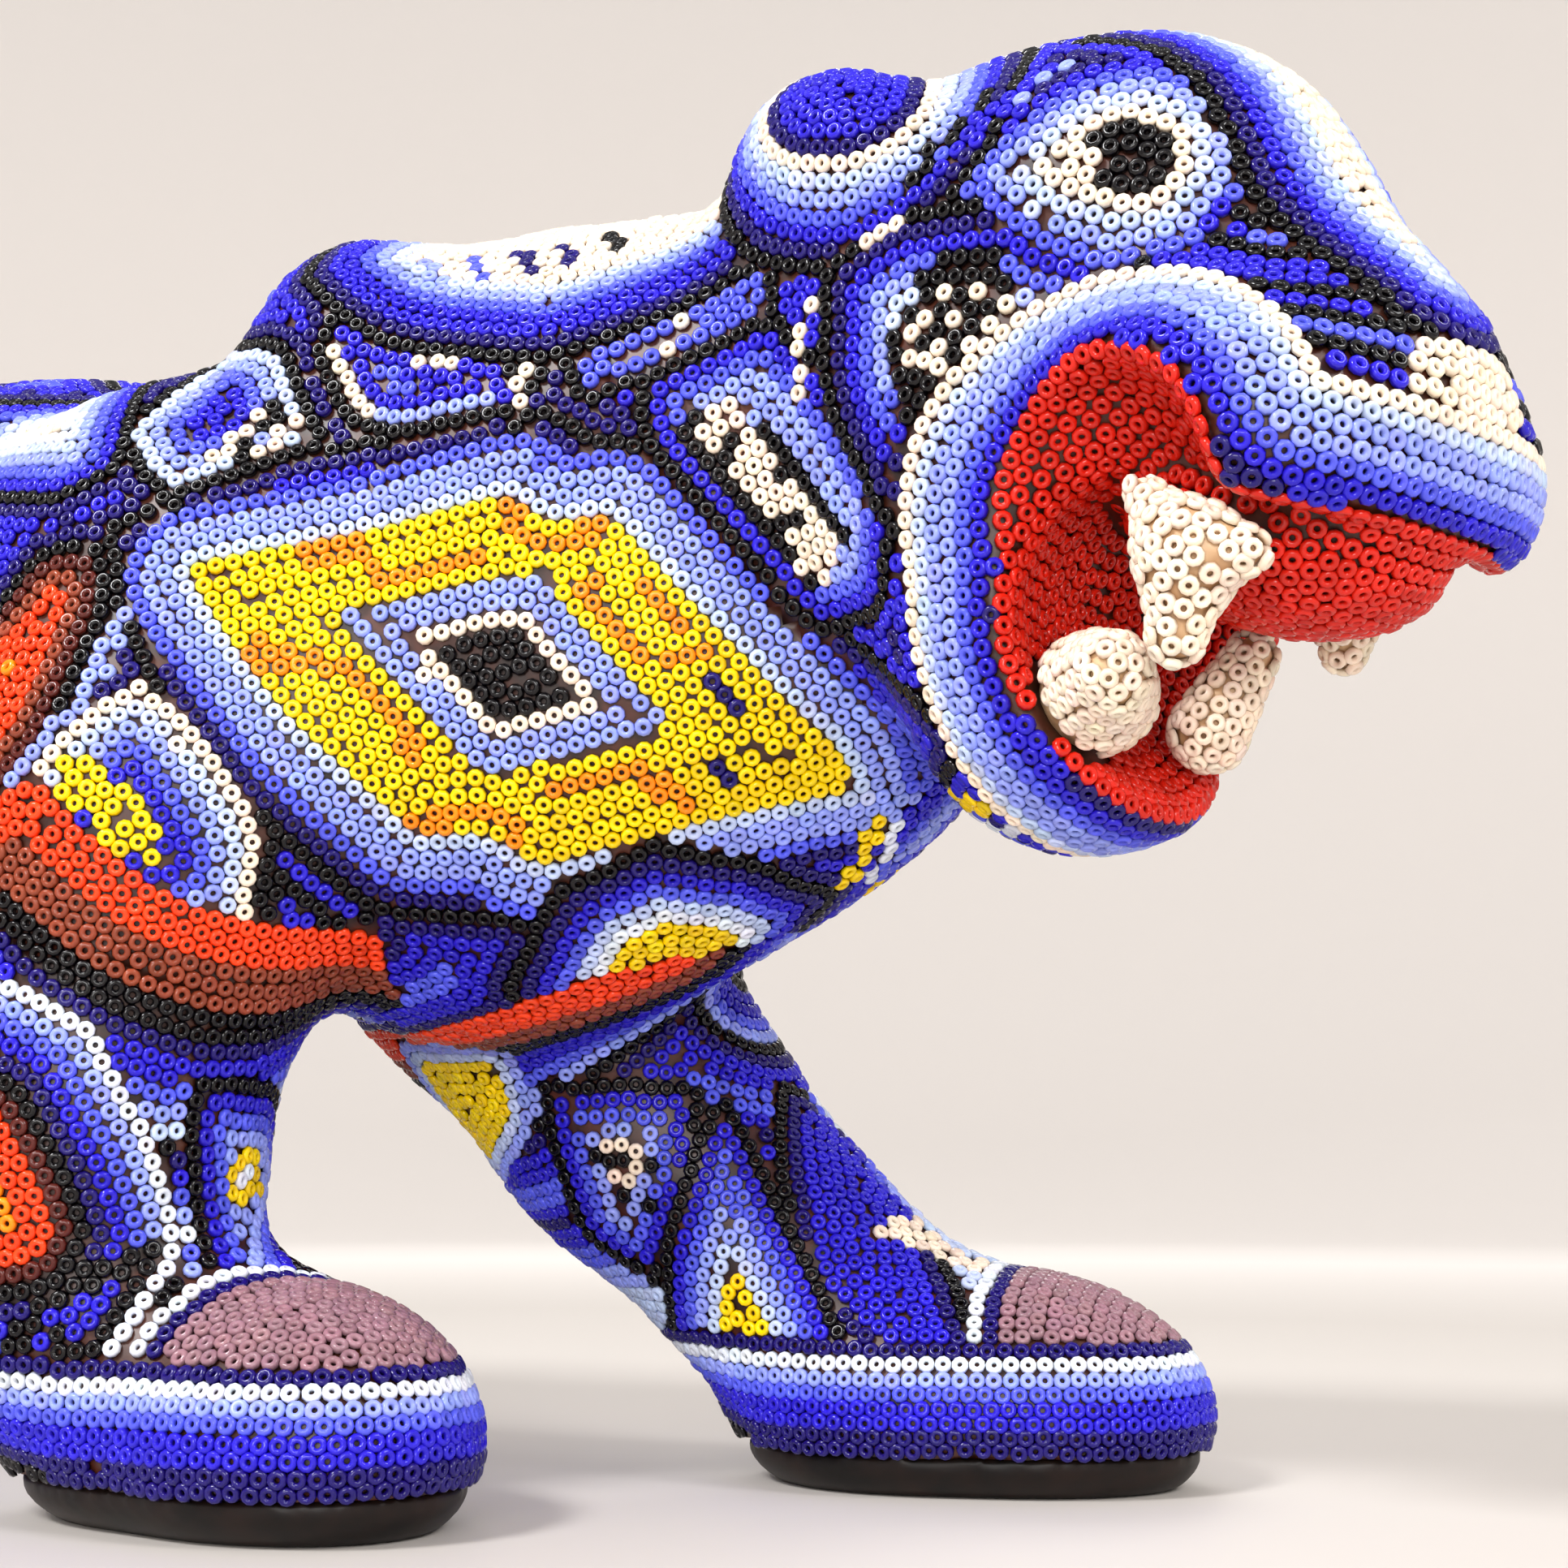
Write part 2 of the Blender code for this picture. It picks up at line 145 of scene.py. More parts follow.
def from_head(point):
    return np.array(SKULL) + np.array(point, float) @ HEAD


def in_head(points):
    return (points - np.array(SKULL)) @ HEAD.T


def turned(degrees):
    a = math.radians(degrees)
    return np.array([[math.cos(a), math.sin(a), 0], [-math.sin(a), math.cos(a), 0], [0, 0, 1]])


def nodded(degrees):
    a = math.radians(degrees)
    return np.array([[math.cos(a), 0, -math.sin(a)], [0, 1, 0], [math.sin(a), 0, math.cos(a)]])


def egg(points, middle, radii, axes=None):
    """Distance to an ellipsoid, close to exact near its surface."""
    q = points - np.array(middle, float)
    if axes is not None:
        q = q @ axes.T
    r = np.array(radii, float)
    near = np.sqrt(((q / r) ** 2).sum(-1))
    slope = np.sqrt(((q / r**2) ** 2).sum(-1))
    return near * (near - 1) / np.maximum(slope, 1e-9)


def limb(points, start, end, r1, r2):
    """Distance to two balls joined by a cone."""
    a = np.array(start, float)
    along = np.array(end, float) - a
    l2 = float(along @ along)
    drop = r1 - r2
    a2 = l2 - drop * drop
    from_a = points - a
    y = from_a @ along
    z = y - l2
    across = from_a * l2 - along * y[..., None]
    x2 = (across * across).sum(-1)
    y2 = y * y * l2
    z2 = z * z * l2
    k = np.sign(drop) * drop * drop * x2
    d = (np.sqrt(x2 * a2 / l2) + y * drop) / l2 - r1
    d = np.where(np.sign(y) * a2 * y2 < k, np.sqrt(x2 + y2) / l2 - r1, d)
    return np.where(np.sign(z) * a2 * z2 > k, np.sqrt(x2 + z2) / l2 - r2, d)


def join(a, b, blend):
    h = np.maximum(blend - np.abs(a - b), 0) / blend
    return np.minimum(a, b) - h * h * blend * 0.25


def carve(a, b, blend):
    return -join(-a, b, blend)


def trunk_shape(p):
    d = egg(p, (30, 0, 111), (53, 40, 54))
    d = join(d, egg(p, (64, -1, 110), (38, 31, 36)), 14)
    for side in (-17, 17):
        d = join(d, egg(p, (17, side, 145.5), (18, 18, 20)), 8)
    d = join(d, egg(p, (-46, 0, 115), (60, 38, 43)), 14)
    d = join(d, egg(p, (-112, 0, 120), (44, 39, 43)), 18)
    d = join(d, egg(p, (-8, -30, 98), (33, 20, 45)), 14)
    d = join(d, egg(p, (18, 30, 98), (33, 20, 45)), 14)
    d = join(d, egg(p, (-122, -27, 102), (33, 20, 45)), 16)
    d = join(d, egg(p, (-104, 27, 102), (33, 20, 45)), 16)
    return join(d, limb(p, (48, 0, 134), (84, -6, 138), 34, 30), 14)


def leg_shape(p, top, knee, ankle, radii, paw, turn):
    d = limb(p, top, knee, radii[0], radii[1])
    d = join(d, limb(p, knee, ankle, radii[1], radii[2]), 10)
    axes = turned(turn)
    middle = np.array([paw[0], paw[1], 9.5])
    heel = middle - 12 * axes[0] - (0, 0, 0.5)
    d = join(d, egg(p, middle, (30, 22, 19), axes), 12)
    return join(d, egg(p, heel, (20, 21, 17), axes), 8)


def tail_shape(p):
    d = None
    for a, b in zip(TAIL[:-1], TAIL[1:]):
        piece = limb(p, a[:3], b[:3], a[3], b[3])
        d = piece if d is None else join(d, piece, 6)
    return d


def head_shape(p):
    q = in_head(p)
    d = egg(q, (-2, 0, 6), (34, 30, 33))
    d = join(d, egg(q, (14, 0, 20), (28, 25, 23)), 10)
    d = join(d, limb(q, (22, 0, 20), (52, 0, 5), 20, 16), 10)
    for side in (-13, 13):
        d = join(d, egg(q, (14, side, -12), (28, 17, 24)), 10)
        d = join(d, egg(q, (45, side, -1), (21, 17, 15)), 8)
    d = join(d, egg(q, (52, 0, -3), (17, 24, 12)), 8)
    d = join(d, egg(q, (29.5, -4.5, -30), (22, 20.5, 21)), 10)
    d = carve(d, egg(q, (54, 0, -24), (27, 36, 19.5), nodded(22)), 4)
    for side in (-29, 29):
        d = carve(d, egg(q, (45, side, -12), (13, 13, 14), nodded(10)), 4)
    d = join(d, egg(q, (48.5, 0, -10.5), (18, 17, 10.5)), 4)
    for side in (-23, 23):
        d = join(d, egg(q, (-13.5, side, 21.5), (16.5, 11, 12)), 6)
    return d


def figure(p):
    """Distance to the outside of the beads."""
    d = trunk_shape(p)
    for leg in LEGS.values():
        d = join(d, leg_shape(p, *leg), 12)
    d = join(d, head_shape(p), 10)
    return join(d, tail_shape(p), 10)


# ---------------------------------------------------------------- the skin of a shape


def skin_of(shape, low, high, step):
    """A closed mesh where the field is zero: one vertex per crossed grid cell."""
    low = np.array(low, float)
    count = np.ceil((np.array(high, float) - low) / step).astype(int) + 1
    axes = [low[k] + step * np.arange(count[k]) for k in range(3)]
    values = shape(np.stack(np.meshgrid(*axes, indexing="ij"), -1))
    inside = values < 0
    cells = count - 1
    total = np.zeros(tuple(cells) + (3,))
    hits = np.zeros(cells, int)
    corners = [(i, j, k) for i in (0, 1) for j in (0, 1) for k in (0, 1)]

    def corner(grid, c):
        return grid[c[0] : c[0] + cells[0], c[1] : c[1] + cells[1], c[2] : c[2] + cells[2]]

    for c in corners:
        for k in range(3):
            if c[k]:
                continue
            other = list(c)
            other[k] = 1
            here = corner(values, c)
            there = corner(values, other)
            crossed = (here < 0) != (there < 0)
            part = np.where(crossed, here / np.where(crossed, here - there, 1), 0)
            point = np.zeros(tuple(cells) + (3,)) + np.array(c, float)
            point[..., k] = part
            total += np.where(crossed[..., None], point, 0)
            hits += crossed
    used = hits > 0
    index = np.full(cells, -1)
    index[used] = np.arange(used.sum())
    start = np.indices(cells).transpose(1, 2, 3, 0)[used]
    verts = (start + total[used] / hits[used][:, None]) * step + low
    quads = []
    for k in range(3):
        i, j = (k + 1) % 3, (k + 2) % 3
        first = [slice(1, count[q] - 1) for q in range(3)]
        second = list(first)
        first[k] = slice(0, count[k] - 1)
        second[k] = slice(1, count[k])
        a = inside[tuple(first)]
        at = np.argwhere(a != inside[tuple(second)])
        solid = a[tuple(at.T)]
        for q in (i, j):
            at[:, q] += 1
        ring = []
        for di, dj in ((-1, -1), (0, -1), (0, 0), (-1, 0)):
            cell = at.copy()
            cell[:, i] += di
            cell[:, j] += dj
            ring.append(index[tuple(cell.T)])
        face = np.stack(ring, 1)
        face[~solid] = face[~solid][:, ::-1]
        quads.append(face)
    return verts, np.concatenate(quads)


def slope_of(shape, points, step=0.4):
    """Outward directions of a field."""
    parts = []
    for axis in np.eye(3) * step:
        parts.append(shape(points + axis) - shape(points - axis))
    slope = np.stack(parts, -1)
    return slope / np.maximum(np.linalg.norm(slope, axis=-1, keepdims=True), 1e-9)


def half_space(cut):
    return np.array(cut[0], float), -unit(cut[1])


def block_planes():
    """Each smaller wooden block's space, as planes with outward normals."""
    blocks = {"head": [half_space(NECK_CUT)]}
    for name, cut in LEG_CUTS.items():
        inner = 1.0 if name.endswith("right") else -1.0
        rear, front = (-60.0, 150.0) if name.startswith("fore") else (-167.0, -60.0)
        blocks[name] = [
            half_space(cut),
            (np.array([0.0, 0.0, 0.0]), np.array([0.0, inner, 0.0])),
            (np.array([rear, 0.0, 0.0]), np.array([-1.0, 0.0, 0.0])),
            (np.array([front, 0.0, 0.0]), np.array([1.0, 0.0, 0.0])),
        ]
    blocks["tail"] = [half_space(TAIL_CUT), half_space(TAIL_SIDE)]
    return blocks


def block_of(points):
    """The name of the wooden block that each point belongs to."""
    found = np.full(len(points), "torso", dtype=object)
    for name, planes in block_planes().items():
        within = np.ones(len(points), bool)
        for middle, outward in planes:
            within &= (points - middle) @ outward < 0
        found[within] = name
    return found


# ---------------------------------------------------------------- motifs
# A motif gives every point of the skin a depth: positive inside it, in millimetres.

OUTSIDE = -50.0


class View:
    """A flat drawing plane: across and up, seen from outside, that reaches so far into the figure."""

    def __init__(self, middle, across, up, lift, reach, head=False, mirror=False, steep=0.08):
        self.middle = np.array(middle, float)
        self.across = unit(across)
        self.up = unit(up)
        self.lift = lift
        self.reach = reach
        self.head = head
        self.flip = np.array((1.0, -1.0 if mirror else 1.0, 1.0))
        self.steep = steep
        self.facing = np.cross(self.across, self.up)

    def flat(self, points, normals):
        if self.head:
            points = in_head(points)
            normals = normals @ HEAD.T
        away = points * self.flip - self.middle
        depth = self.lift - away @ self.facing
        seen = (depth > 0) & (depth < self.reach) & ((normals * self.flip) @ self.facing > self.steep)
        return np.stack([away @ self.across, away @ self.up], -1), seen


class Wrap:
    """The trunk unrolled around a lengthwise axis: along it, and from the right side over the back."""

    middle = 112.0
    radius = 44.0
    top = radius * math.pi / 2

    def flat(self, points, normals):
        y, z = points[:, 1], points[:, 2] - self.middle
        round_it = np.arctan2(z, -y) * self.radius
        return np.stack([points[:, 0], round_it], -1), (z > 8) & (np.hypot(y, z) > 20)


def gap_to_edges(spots, starts, ends):
    """Distance to the nearest of some straight edges."""
    best = np.full(len(spots), 1e9)
    for a, b in zip(starts, ends):
        edge = b - a
        away = spots - a
        part = np.clip(away @ edge / (edge @ edge), 0, 1)
        best = np.minimum(best, np.linalg.norm(away - part[:, None] * edge, axis=1))
    return best


def polygon_depth(spots, corners):
    """Signed distance to a polygon, positive inside."""
    corners = np.array(corners, float)
    following = np.roll(corners, -1, 0)
    odd = np.zeros(len(spots), bool)
    for a, b in zip(corners, following):
        if a[1] != b[1]:
            side = (spots[:, 1] < a[1]) != (spots[:, 1] < b[1])
            reach = a[0] + (spots[:, 1] - a[1]) / (b[1] - a[1]) * (b[0] - a[0])
            odd ^= side & (spots[:, 0] < reach)
    best = gap_to_edges(spots, corners, following)
    return np.where(odd, best, -best)


def line_depth(spots, corners, half_width):
    corners = np.array(corners, float)
    return half_width - gap_to_edges(spots, corners[:-1], corners[1:])


def panel(view, corners, bands, rows=True, grow=0.0):
    def depth(points, normals):
        spots, seen = view.flat(points, normals)
        return np.where(seen, polygon_depth(spots, corners) + grow, OUTSIDE)

    return depth, bands, rows


def streak(view, corners, half_width, bands, rows=False):
    def depth(points, normals):
        spots, seen = view.flat(points, normals)
        return np.where(seen, line_depth(spots, corners, half_width), OUTSIDE)

    return depth, bands, rows


def field(shape, bands, rows=True):
    return (lambda points, normals: shape(points)), bands, rows


def expand(bands):
    """'navy2 cobalt' becomes a list with one colour number for each row."""
    rows = []
    for word in bands.split():
        name = word.rstrip("0123456789")
        rows += [NAMES.index(name)] * int(word[len(name) :] or 1)
    return rows


# ---------------------------------------------------------------- laying the beads


class Laid:
    """The beads laid so far, on a coarse grid for quick neighbour tests."""

    def __init__(self, closest):
        self.closest = closest * closest
        self.cells = {}
        self.spots = []

    def key(self, p):
        return int(p[0] // PITCH), int(p[1] // PITCH), int(p[2] // PITCH)

    def free(self, p):
        x, y, z = self.key(p)
        for i in (x, x - 1, x + 1):
            for j in (y, y - 1, y + 1):
                for k in (z, z - 1, z + 1):
                    for q in self.cells.get((i, j, k), ()):
                        dx, dy, dz = p[0] - q[0], p[1] - q[1], p[2] - q[2]
                        if dx * dx + dy * dy + dz * dz < self.closest:
                            return False
        return True

    def put(self, p):
        self.cells.setdefault(self.key(p), []).append(p)
        self.spots.append(p)


def contour(values, verts, triangles):
    """The lines on the skin where the values are zero, each as (ordered points, whether it closes)."""
    at = values[triangles]
    inside = at > 0
    count = inside.sum(1)
    hit = (count > 0) & (count < 3) & (at.max(1) - at.min(1) < 6.0)
    if not hit.any():
        return []
    cut, inside, count = triangles[hit], inside[hit], count[hit]
    rows = np.arange(len(cut))
    lone = np.where(count == 1, inside.argmax(1), (~inside).argmax(1))
    first = cut[rows, lone]
    keys = []
    for k in (1, 2):
        other = cut[rows, (lone + k) % 3]
        keys.append(np.minimum(first, other) * len(verts) + np.maximum(first, other))
    edges, index = np.unique(np.concatenate(keys), return_inverse=True)
    low, high = edges // len(verts), edges % len(verts)
    part = (values[low] / (values[low] - values[high]))[:, None]
    points = verts[low] * (1 - part) + verts[high] * part
    links = [[] for _ in edges]
    for i, j in zip(index[: len(cut)].tolist(), index[len(cut) :].tolist()):
        links[i].append(j)
        links[j].append(i)
    return chains(points, links)


def chains(points, links):
    """Follows the links from point to point: open lines first, then loops."""
    used = [False] * len(points)
    lines = []
    ends = [n for n, near in enumerate(links) if len(near) == 1]
    for start in ends + list(range(len(points))):
        if used[start]:
            continue
        line = [start]
        used[start] = True
        here = start
        while True:
            onward = [n for n in links[here] if not used[n]]
            if not onward:
                break
            here = onward[0]
            used[here] = True
            line.append(here)
        closed = len(line) > 3 and start in links[here]
        lines.append((points[line], closed))
    return lines


def cut_runs(points, closed, keep):
    """Only the stretches of a line whose points are kept."""
    if keep.all():
        return [(points, closed)]
    if closed:
        turn = int(np.argmin(keep))
        points, keep = np.roll(points, -turn, 0), np.roll(keep, -turn)
    runs = []
    marks = np.flatnonzero(np.diff(np.concatenate([[0], keep.astype(int), [0]])))
    for start, end in zip(marks[::2], marks[1::2]):
        if end - start > 1:
            runs.append((points[start:end], False))
    return runs


def spaced(points, closed):
    """Spots one pitch apart along a line, with the line's direction at each."""
    if closed:
        points = np.concatenate([points, points[:1]])
    steps = np.linalg.norm(np.diff(points, axis=0), axis=1)
    place = np.concatenate([[0.0], np.cumsum(steps)])
    count = int(place[-1] / PITCH + 0.5)
    if count == 0:
        return np.zeros((0, 3)), np.zeros((0, 3))
    wanted = (np.arange(count) + 0.5) * place[-1] / count
    spots = np.stack([np.interp(wanted, place, points[:, k]) for k in range(3)], -1)
    ahead = np.stack([np.interp(wanted + 0.8, place, points[:, k]) for k in range(3)], -1) - spots
    ahead = np.where(np.linalg.norm(ahead, axis=1, keepdims=True) > 1e-3, ahead, (0.6, 0.6, 0.5))
    return spots, ahead / np.linalg.norm(ahead, axis=1, keepdims=True)


class Bag:
    """Beads with their colour and the number of the motif that they belong to."""

    def __init__(self):
        self.laid = Laid(0.80 * PITCH)
        self.ahead = []
        self.colour = []
        self.motif = []

    def add(self, spots, ahead, colour, motif):
        tones = np.broadcast_to(colour, len(spots)).tolist()
        for spot, way, tone in zip(spots.tolist(), ahead.tolist(), tones):
            spot = tuple(spot)
            if self.laid.free(spot):
                self.laid.put(spot)
                self.ahead.append(way)
                self.colour.append(tone)
                self.motif.append(motif)


def tree_of(points):
    tree = KDTree(len(points))
    for n, p in enumerate(points):
        tree.insert(p, n)
    tree.balance()
    return tree


def distance_to(points, line):
    tree = tree_of(line)
    return np.array([tree.find(p)[2] for p in points])


def measured_inwards(depth, verts, triangles):
    """A motif's depth, measured over the skin from its outline instead of on its drawing plane."""
    lines = contour(depth, verts, triangles)
    inside = depth > 0
    if not lines or not inside.any():
        return depth
    depth = depth.copy()
    depth[inside] = distance_to(verts[inside], np.concatenate([points for points, _ in lines]))
    return depth


def lay_rows(bag, depth, bands, number, skin):
    """Rows of beads at equal depths under a motif's outline; gives the points of the outline itself."""
    verts, triangles, later = skin
    depth = measured_inwards(depth, verts, triangles)
    rows = expand(bands)
    outline = []
    last = int(min(depth.max(), 90.0) / ROW)
    for k in range(0, last + 1):
        colour = rows[min(k, len(rows) - 1)]
        for points, closed in contour(depth - k * ROW, verts, triangles):
            keep = later(points, number)
            for run, whole in cut_runs(points, closed, keep):
                if k == 0:
                    outline.append(run)
                spots, ahead = spaced(run, whole)
                bag.add(spots, ahead, colour, number)
    return outline


def neighbours(spots, reach):
    tree = tree_of(spots)
    first, second = [], []
    for n, p in enumerate(spots):
        for _, m, _ in tree.find_range(p, reach):
            if m > n:
                first.append(n)
                second.append(m)
    return np.array(first, int), np.array(second, int)


def relax(spots, shape, rounds, rest=PITCH):
    """Lets crowded beads push each other apart over the surface."""
    spots = spots.copy()
    normals = slope_of(shape, spots)
    for turn in range(rounds):
        if turn % 5 == 0:
            first, second = neighbours(spots, 1.3 * PITCH)
        away = spots[first] - spots[second]
        gap = np.maximum(np.linalg.norm(away, axis=1), 1e-3)
        push = away * (np.maximum(rest - gap, 0) * 0.42 / gap)[:, None]
        move = np.zeros_like(spots)
        np.add.at(move, first, push)
        np.add.at(move, second, -push)
        move -= normals * (move * normals).sum(1)[:, None]
        spots += move
        if turn % 4 == 3:
            normals = slope_of(shape, spots)
            spots -= normals * shape(spots)[:, None]
    normals = slope_of(shape, spots)
    spots -= normals * shape(spots)[:, None]
    return spots, normals


def thinned(spots, closest):
    """Which beads stay when the later one of any pair that is too close goes."""
    first, second = neighbours(spots, closest)
    stay = np.ones(len(spots), bool)
    for i, j in sorted(zip(first.tolist(), second.tolist())):
        if stay[i]:
            stay[j] = False
    return stay


def fill_gaps(spots, ahead, tree, closest):
    """New beads beside the laid ones wherever one more fits."""
    laid = Laid(closest)
    for spot in spots.tolist():
        laid.put(tuple(spot))
    steps = [(math.cos(k * math.pi / 6), math.sin(k * math.pi / 6)) for k in range(12)]
    queue = deque(zip([tuple(s) for s in spots.tolist()], [tuple(a) for a in ahead.tolist()]))
    new, new_ahead = [], []
    while queue:
        spot, way = queue.popleft()
        hit, normal, _, _ = tree.find_nearest(spot)
        nx, ny, nz = normal
        along = way[0] * nx + way[1] * ny + way[2] * nz
        tx, ty, tz = way[0] - along * nx, way[1] - along * ny, way[2] - along * nz
        size = math.sqrt(tx * tx + ty * ty + tz * tz) or 1.0
        tx, ty, tz = tx / size, ty / size, tz / size
        bx, by, bz = ny * tz - nz * ty, nz * tx - nx * tz, nx * ty - ny * tx
        for c, s in steps:
            c, s = c * PITCH, s * PITCH
            guess = (hit[0] + c * tx + s * bx, hit[1] + c * ty + s * by, hit[2] + c * tz + s * bz)
            if not laid.free(guess):
                continue
            place = tuple(tree.find_nearest(guess)[0])
            if laid.free(place):
                laid.put(place)
                queue.append((place, (tx, ty, tz)))
                new.append(place)
                new_ahead.append((tx, ty, tz))
    return np.array(new).reshape(-1, 3), np.array(new_ahead).reshape(-1, 3)


# ---------------------------------------------------------------- making meshes


def to_frame(points):
    return (np.asarray(points, float) + np.array(MOVE)) / 1000.0


def mesh_of(name, verts, faces, sides):
    """A mesh from equal-sided faces; verts are in the drawing frame."""
    mesh = bpy.data.meshes.new(name)
    mesh.vertices.add(len(verts))
    mesh.vertices.foreach_set("co", to_frame(verts).astype(np.float32).ravel())
    mesh.loops.add(len(faces) * sides)
    mesh.loops.foreach_set("vertex_index", faces.astype(np.int32).ravel())
    mesh.polygons.add(len(faces))
    mesh.polygons.foreach_set("loop_start", np.arange(0, len(faces) * sides, sides, dtype=np.int32))
    mesh.polygons.foreach_set("use_smooth", np.ones(len(faces), bool))
    mesh.update(calc_edges=True)
    obj = bpy.data.objects.new(name, mesh)
    bpy.context.scene.collection.objects.link(obj)
    return obj


def bead_model():
    """One bead around +Z: its points and its faces."""
    verts = []
    for k in range(BEAD_SIDES):
        a = 2 * math.pi * k / BEAD_SIDES
        verts += [(r * math.cos(a), r * math.sin(a), z) for r, z in BEAD_PROFILE]
    size = len(BEAD_PROFILE)
    faces = []
    for k in range(BEAD_SIDES):
        n = (k + 1) % BEAD_SIDES
        for j in range(size):
            m = (j + 1) % size
            faces.append((k * size + j, n * size + j, n * size + m, k * size + m))
    return np.array(verts), np.array(faces)


def bead_piece(name, spots, normals, shades, luck):
    """Many beads as one mesh; each carries its own colour and its own tile of the colour map."""
    model, faces = bead_model()
    count = len(spots)
    tilt = normals + luck.normal(0, 0.05, (count, 3))
    up = tilt / np.linalg.norm(tilt, axis=1, keepdims=True)
    side = np.cross(up, luck.normal(0, 1, (count, 3)))
    side /= np.linalg.norm(side, axis=1, keepdims=True)
    front = np.cross(up, side)
    size = luck.normal(1.0, 0.018, (count, 1, 1)).clip(0.95, 1.04)
    tall = luck.normal(1.0, 0.08, (count, 1, 1)).clip(0.8, 1.2)
    local = np.broadcast_to(model, (count,) + model.shape)
    verts = (
        local[..., :1] * side[:, None] * size
        + local[..., 1:2] * front[:, None] * size
        + local[..., 2:] * up[:, None] * tall
        + (spots + up * luck.normal(0, 0.05, (count, 1)))[:, None]
    )
    loops = faces[None] + (np.arange(count) * len(model))[:, None, None]
    obj = mesh_of(name, verts.reshape(-1, 3), loops.reshape(-1, 4), 4)
    shade = np.concatenate([shades, np.ones((count, 1))], 1)
    colour = obj.data.color_attributes.new("bead_colour", "FLOAT_COLOR", "POINT")
    colour.data.foreach_set("color", np.repeat(shade, len(model), 0).astype(np.float32).ravel())
    tiles = math.ceil(math.sqrt(count))
    place = np.arange(count)
    corner = np.stack([place % tiles, place // tiles], -1).astype(float)
    rows = len(BEAD_PROFILE)
    inside = []
    for k in range(BEAD_SIDES):
        for j in range(rows):
            for dk, dj in ((0, 0), (1, 0), (1, 1), (0, 1)):
                inside.append((0.08 + 0.84 * (k + dk) / BEAD_SIDES, 0.08 + 0.84 * (j + dj) / rows))
    uv = (corner[:, None] + np.array(inside)[None]) / tiles
    layer = obj.data.uv_layers.new(name="OFBake")
    layer.data.foreach_set("uv", uv.astype(np.float32).ravel())
    return obj


def shell_piece(name, verts, quads, thick):
    """A part of the skin, given thickness inwards so that it is a closed coat."""
    used = np.unique(quads)
    number = np.full(len(verts), -1)
    number[used] = np.arange(len(used))
    quads = number[quads]
    outer = verts[used]
    inner = outer - slope_of(figure, outer) * thick
    inner[:, 2] = np.maximum(inner[:, 2], outer[:, 2].clip(0, FLOOR_OF_PAWS + thick * 0.5))
    edges = np.concatenate([quads[:, [k, (k + 1) % 4]] for k in range(4)])
    code = edges[:, 0] * len(used) + edges[:, 1]
    back = edges[:, 1] * len(used) + edges[:, 0]
    rim = edges[~np.isin(code, back)]
    wall = np.stack([rim[:, 1], rim[:, 0], rim[:, 0] + len(used), rim[:, 1] + len(used)], 1)
    faces = np.concatenate([quads, quads[:, ::-1] + len(used), wall])
    return mesh_of(name, np.concatenate([outer, inner]), faces, 4)


# ---------------------------------------------------------------- materials


def material_nodes(name):
    material = bpy.data.materials.new(name)
    material.use_nodes = True
    nodes = material.node_tree.nodes
    return material, nodes, material.node_tree.links, nodes["Principled BSDF"]


def noise(nodes, links, scale, detail, stretch=(1, 1, 1)):
    place = nodes.new("ShaderNodeTexCoord")
    mapping = nodes.new("ShaderNodeMapping")
    mapping.inputs["Scale"].default_value = stretch
    texture = nodes.new("ShaderNodeTexNoise")
    texture.inputs["Scale"].default_value = scale
    texture.inputs["Detail"].default_value = detail
    links.new(place.outputs["Object"], mapping.inputs["Vector"])
    links.new(mapping.outputs["Vector"], texture.inputs["Vector"])
    return texture


def two_tones(nodes, links, source, first, second, low=0.35, high=0.65):
    ramp = nodes.new("ShaderNodeValToRGB")
    ramp.color_ramp.elements[0].position = low
    ramp.color_ramp.elements[0].color = (*first, 1)
    ramp.color_ramp.elements[1].position = high
    ramp.color_ramp.elements[1].color = (*second, 1)
    links.new(source, ramp.inputs["Fac"])
    return ramp


def glass_bead():
    """Opaque glossy glass in the bead's own colour, slightly uneven like wound glass."""
    material, nodes, links, shader = material_nodes("glass_bead")
    colour = nodes.new("ShaderNodeAttribute")
    colour.attribute_name = "bead_colour"
    cloud = noise(nodes, links, 420.0, 1.0)
    shade = two_tones(nodes, links, cloud.outputs["Fac"], (0.84, 0.84, 0.84), (1.0, 1.0, 1.0))
    mix = nodes.new("ShaderNodeMix")
    mix.data_type = "RGBA"
    mix.blend_type = "MULTIPLY"
    mix.inputs["Factor"].default_value = 1.0
    links.new(colour.outputs["Color"], mix.inputs["A"])
    links.new(shade.outputs["Color"], mix.inputs["B"])
    links.new(mix.outputs["Result"], shader.inputs["Base Color"])
    shader.inputs["Roughness"].default_value = 0.17
    shader.inputs["Specular IOR Level"].default_value = 0.34
    return material


def mottled(name, scale, detail, first, second, roughness, stretch=(1, 1, 1), shine=0.5):
    """A plain surface whose colour wanders between two tones."""
    material, nodes, links, shader = material_nodes(name)
    cloud = noise(nodes, links, scale, detail, stretch)
    tones = two_tones(nodes, links, cloud.outputs["Fac"], first, second)
    links.new(tones.outputs["Color"], shader.inputs["Base Color"])
    shader.inputs["Roughness"].default_value = roughness
    shader.inputs["Specular IOR Level"].default_value = shine
    return material


def brown_wax():
    return mottled("brown_wax", 260.0, 3.0, srgb(34, 14, 9), srgb(78, 34, 18), 0.42)


def pale_wax():
    return mottled("pale_wax", 300.0, 2.0, srgb(184, 140, 98), srgb(224, 190, 148), 0.45)


def dark_sole():
    return mottled("dark_sole", 170.0, 4.0, srgb(9, 5, 4), srgb(28, 15, 10), 0.45, shine=0.25)


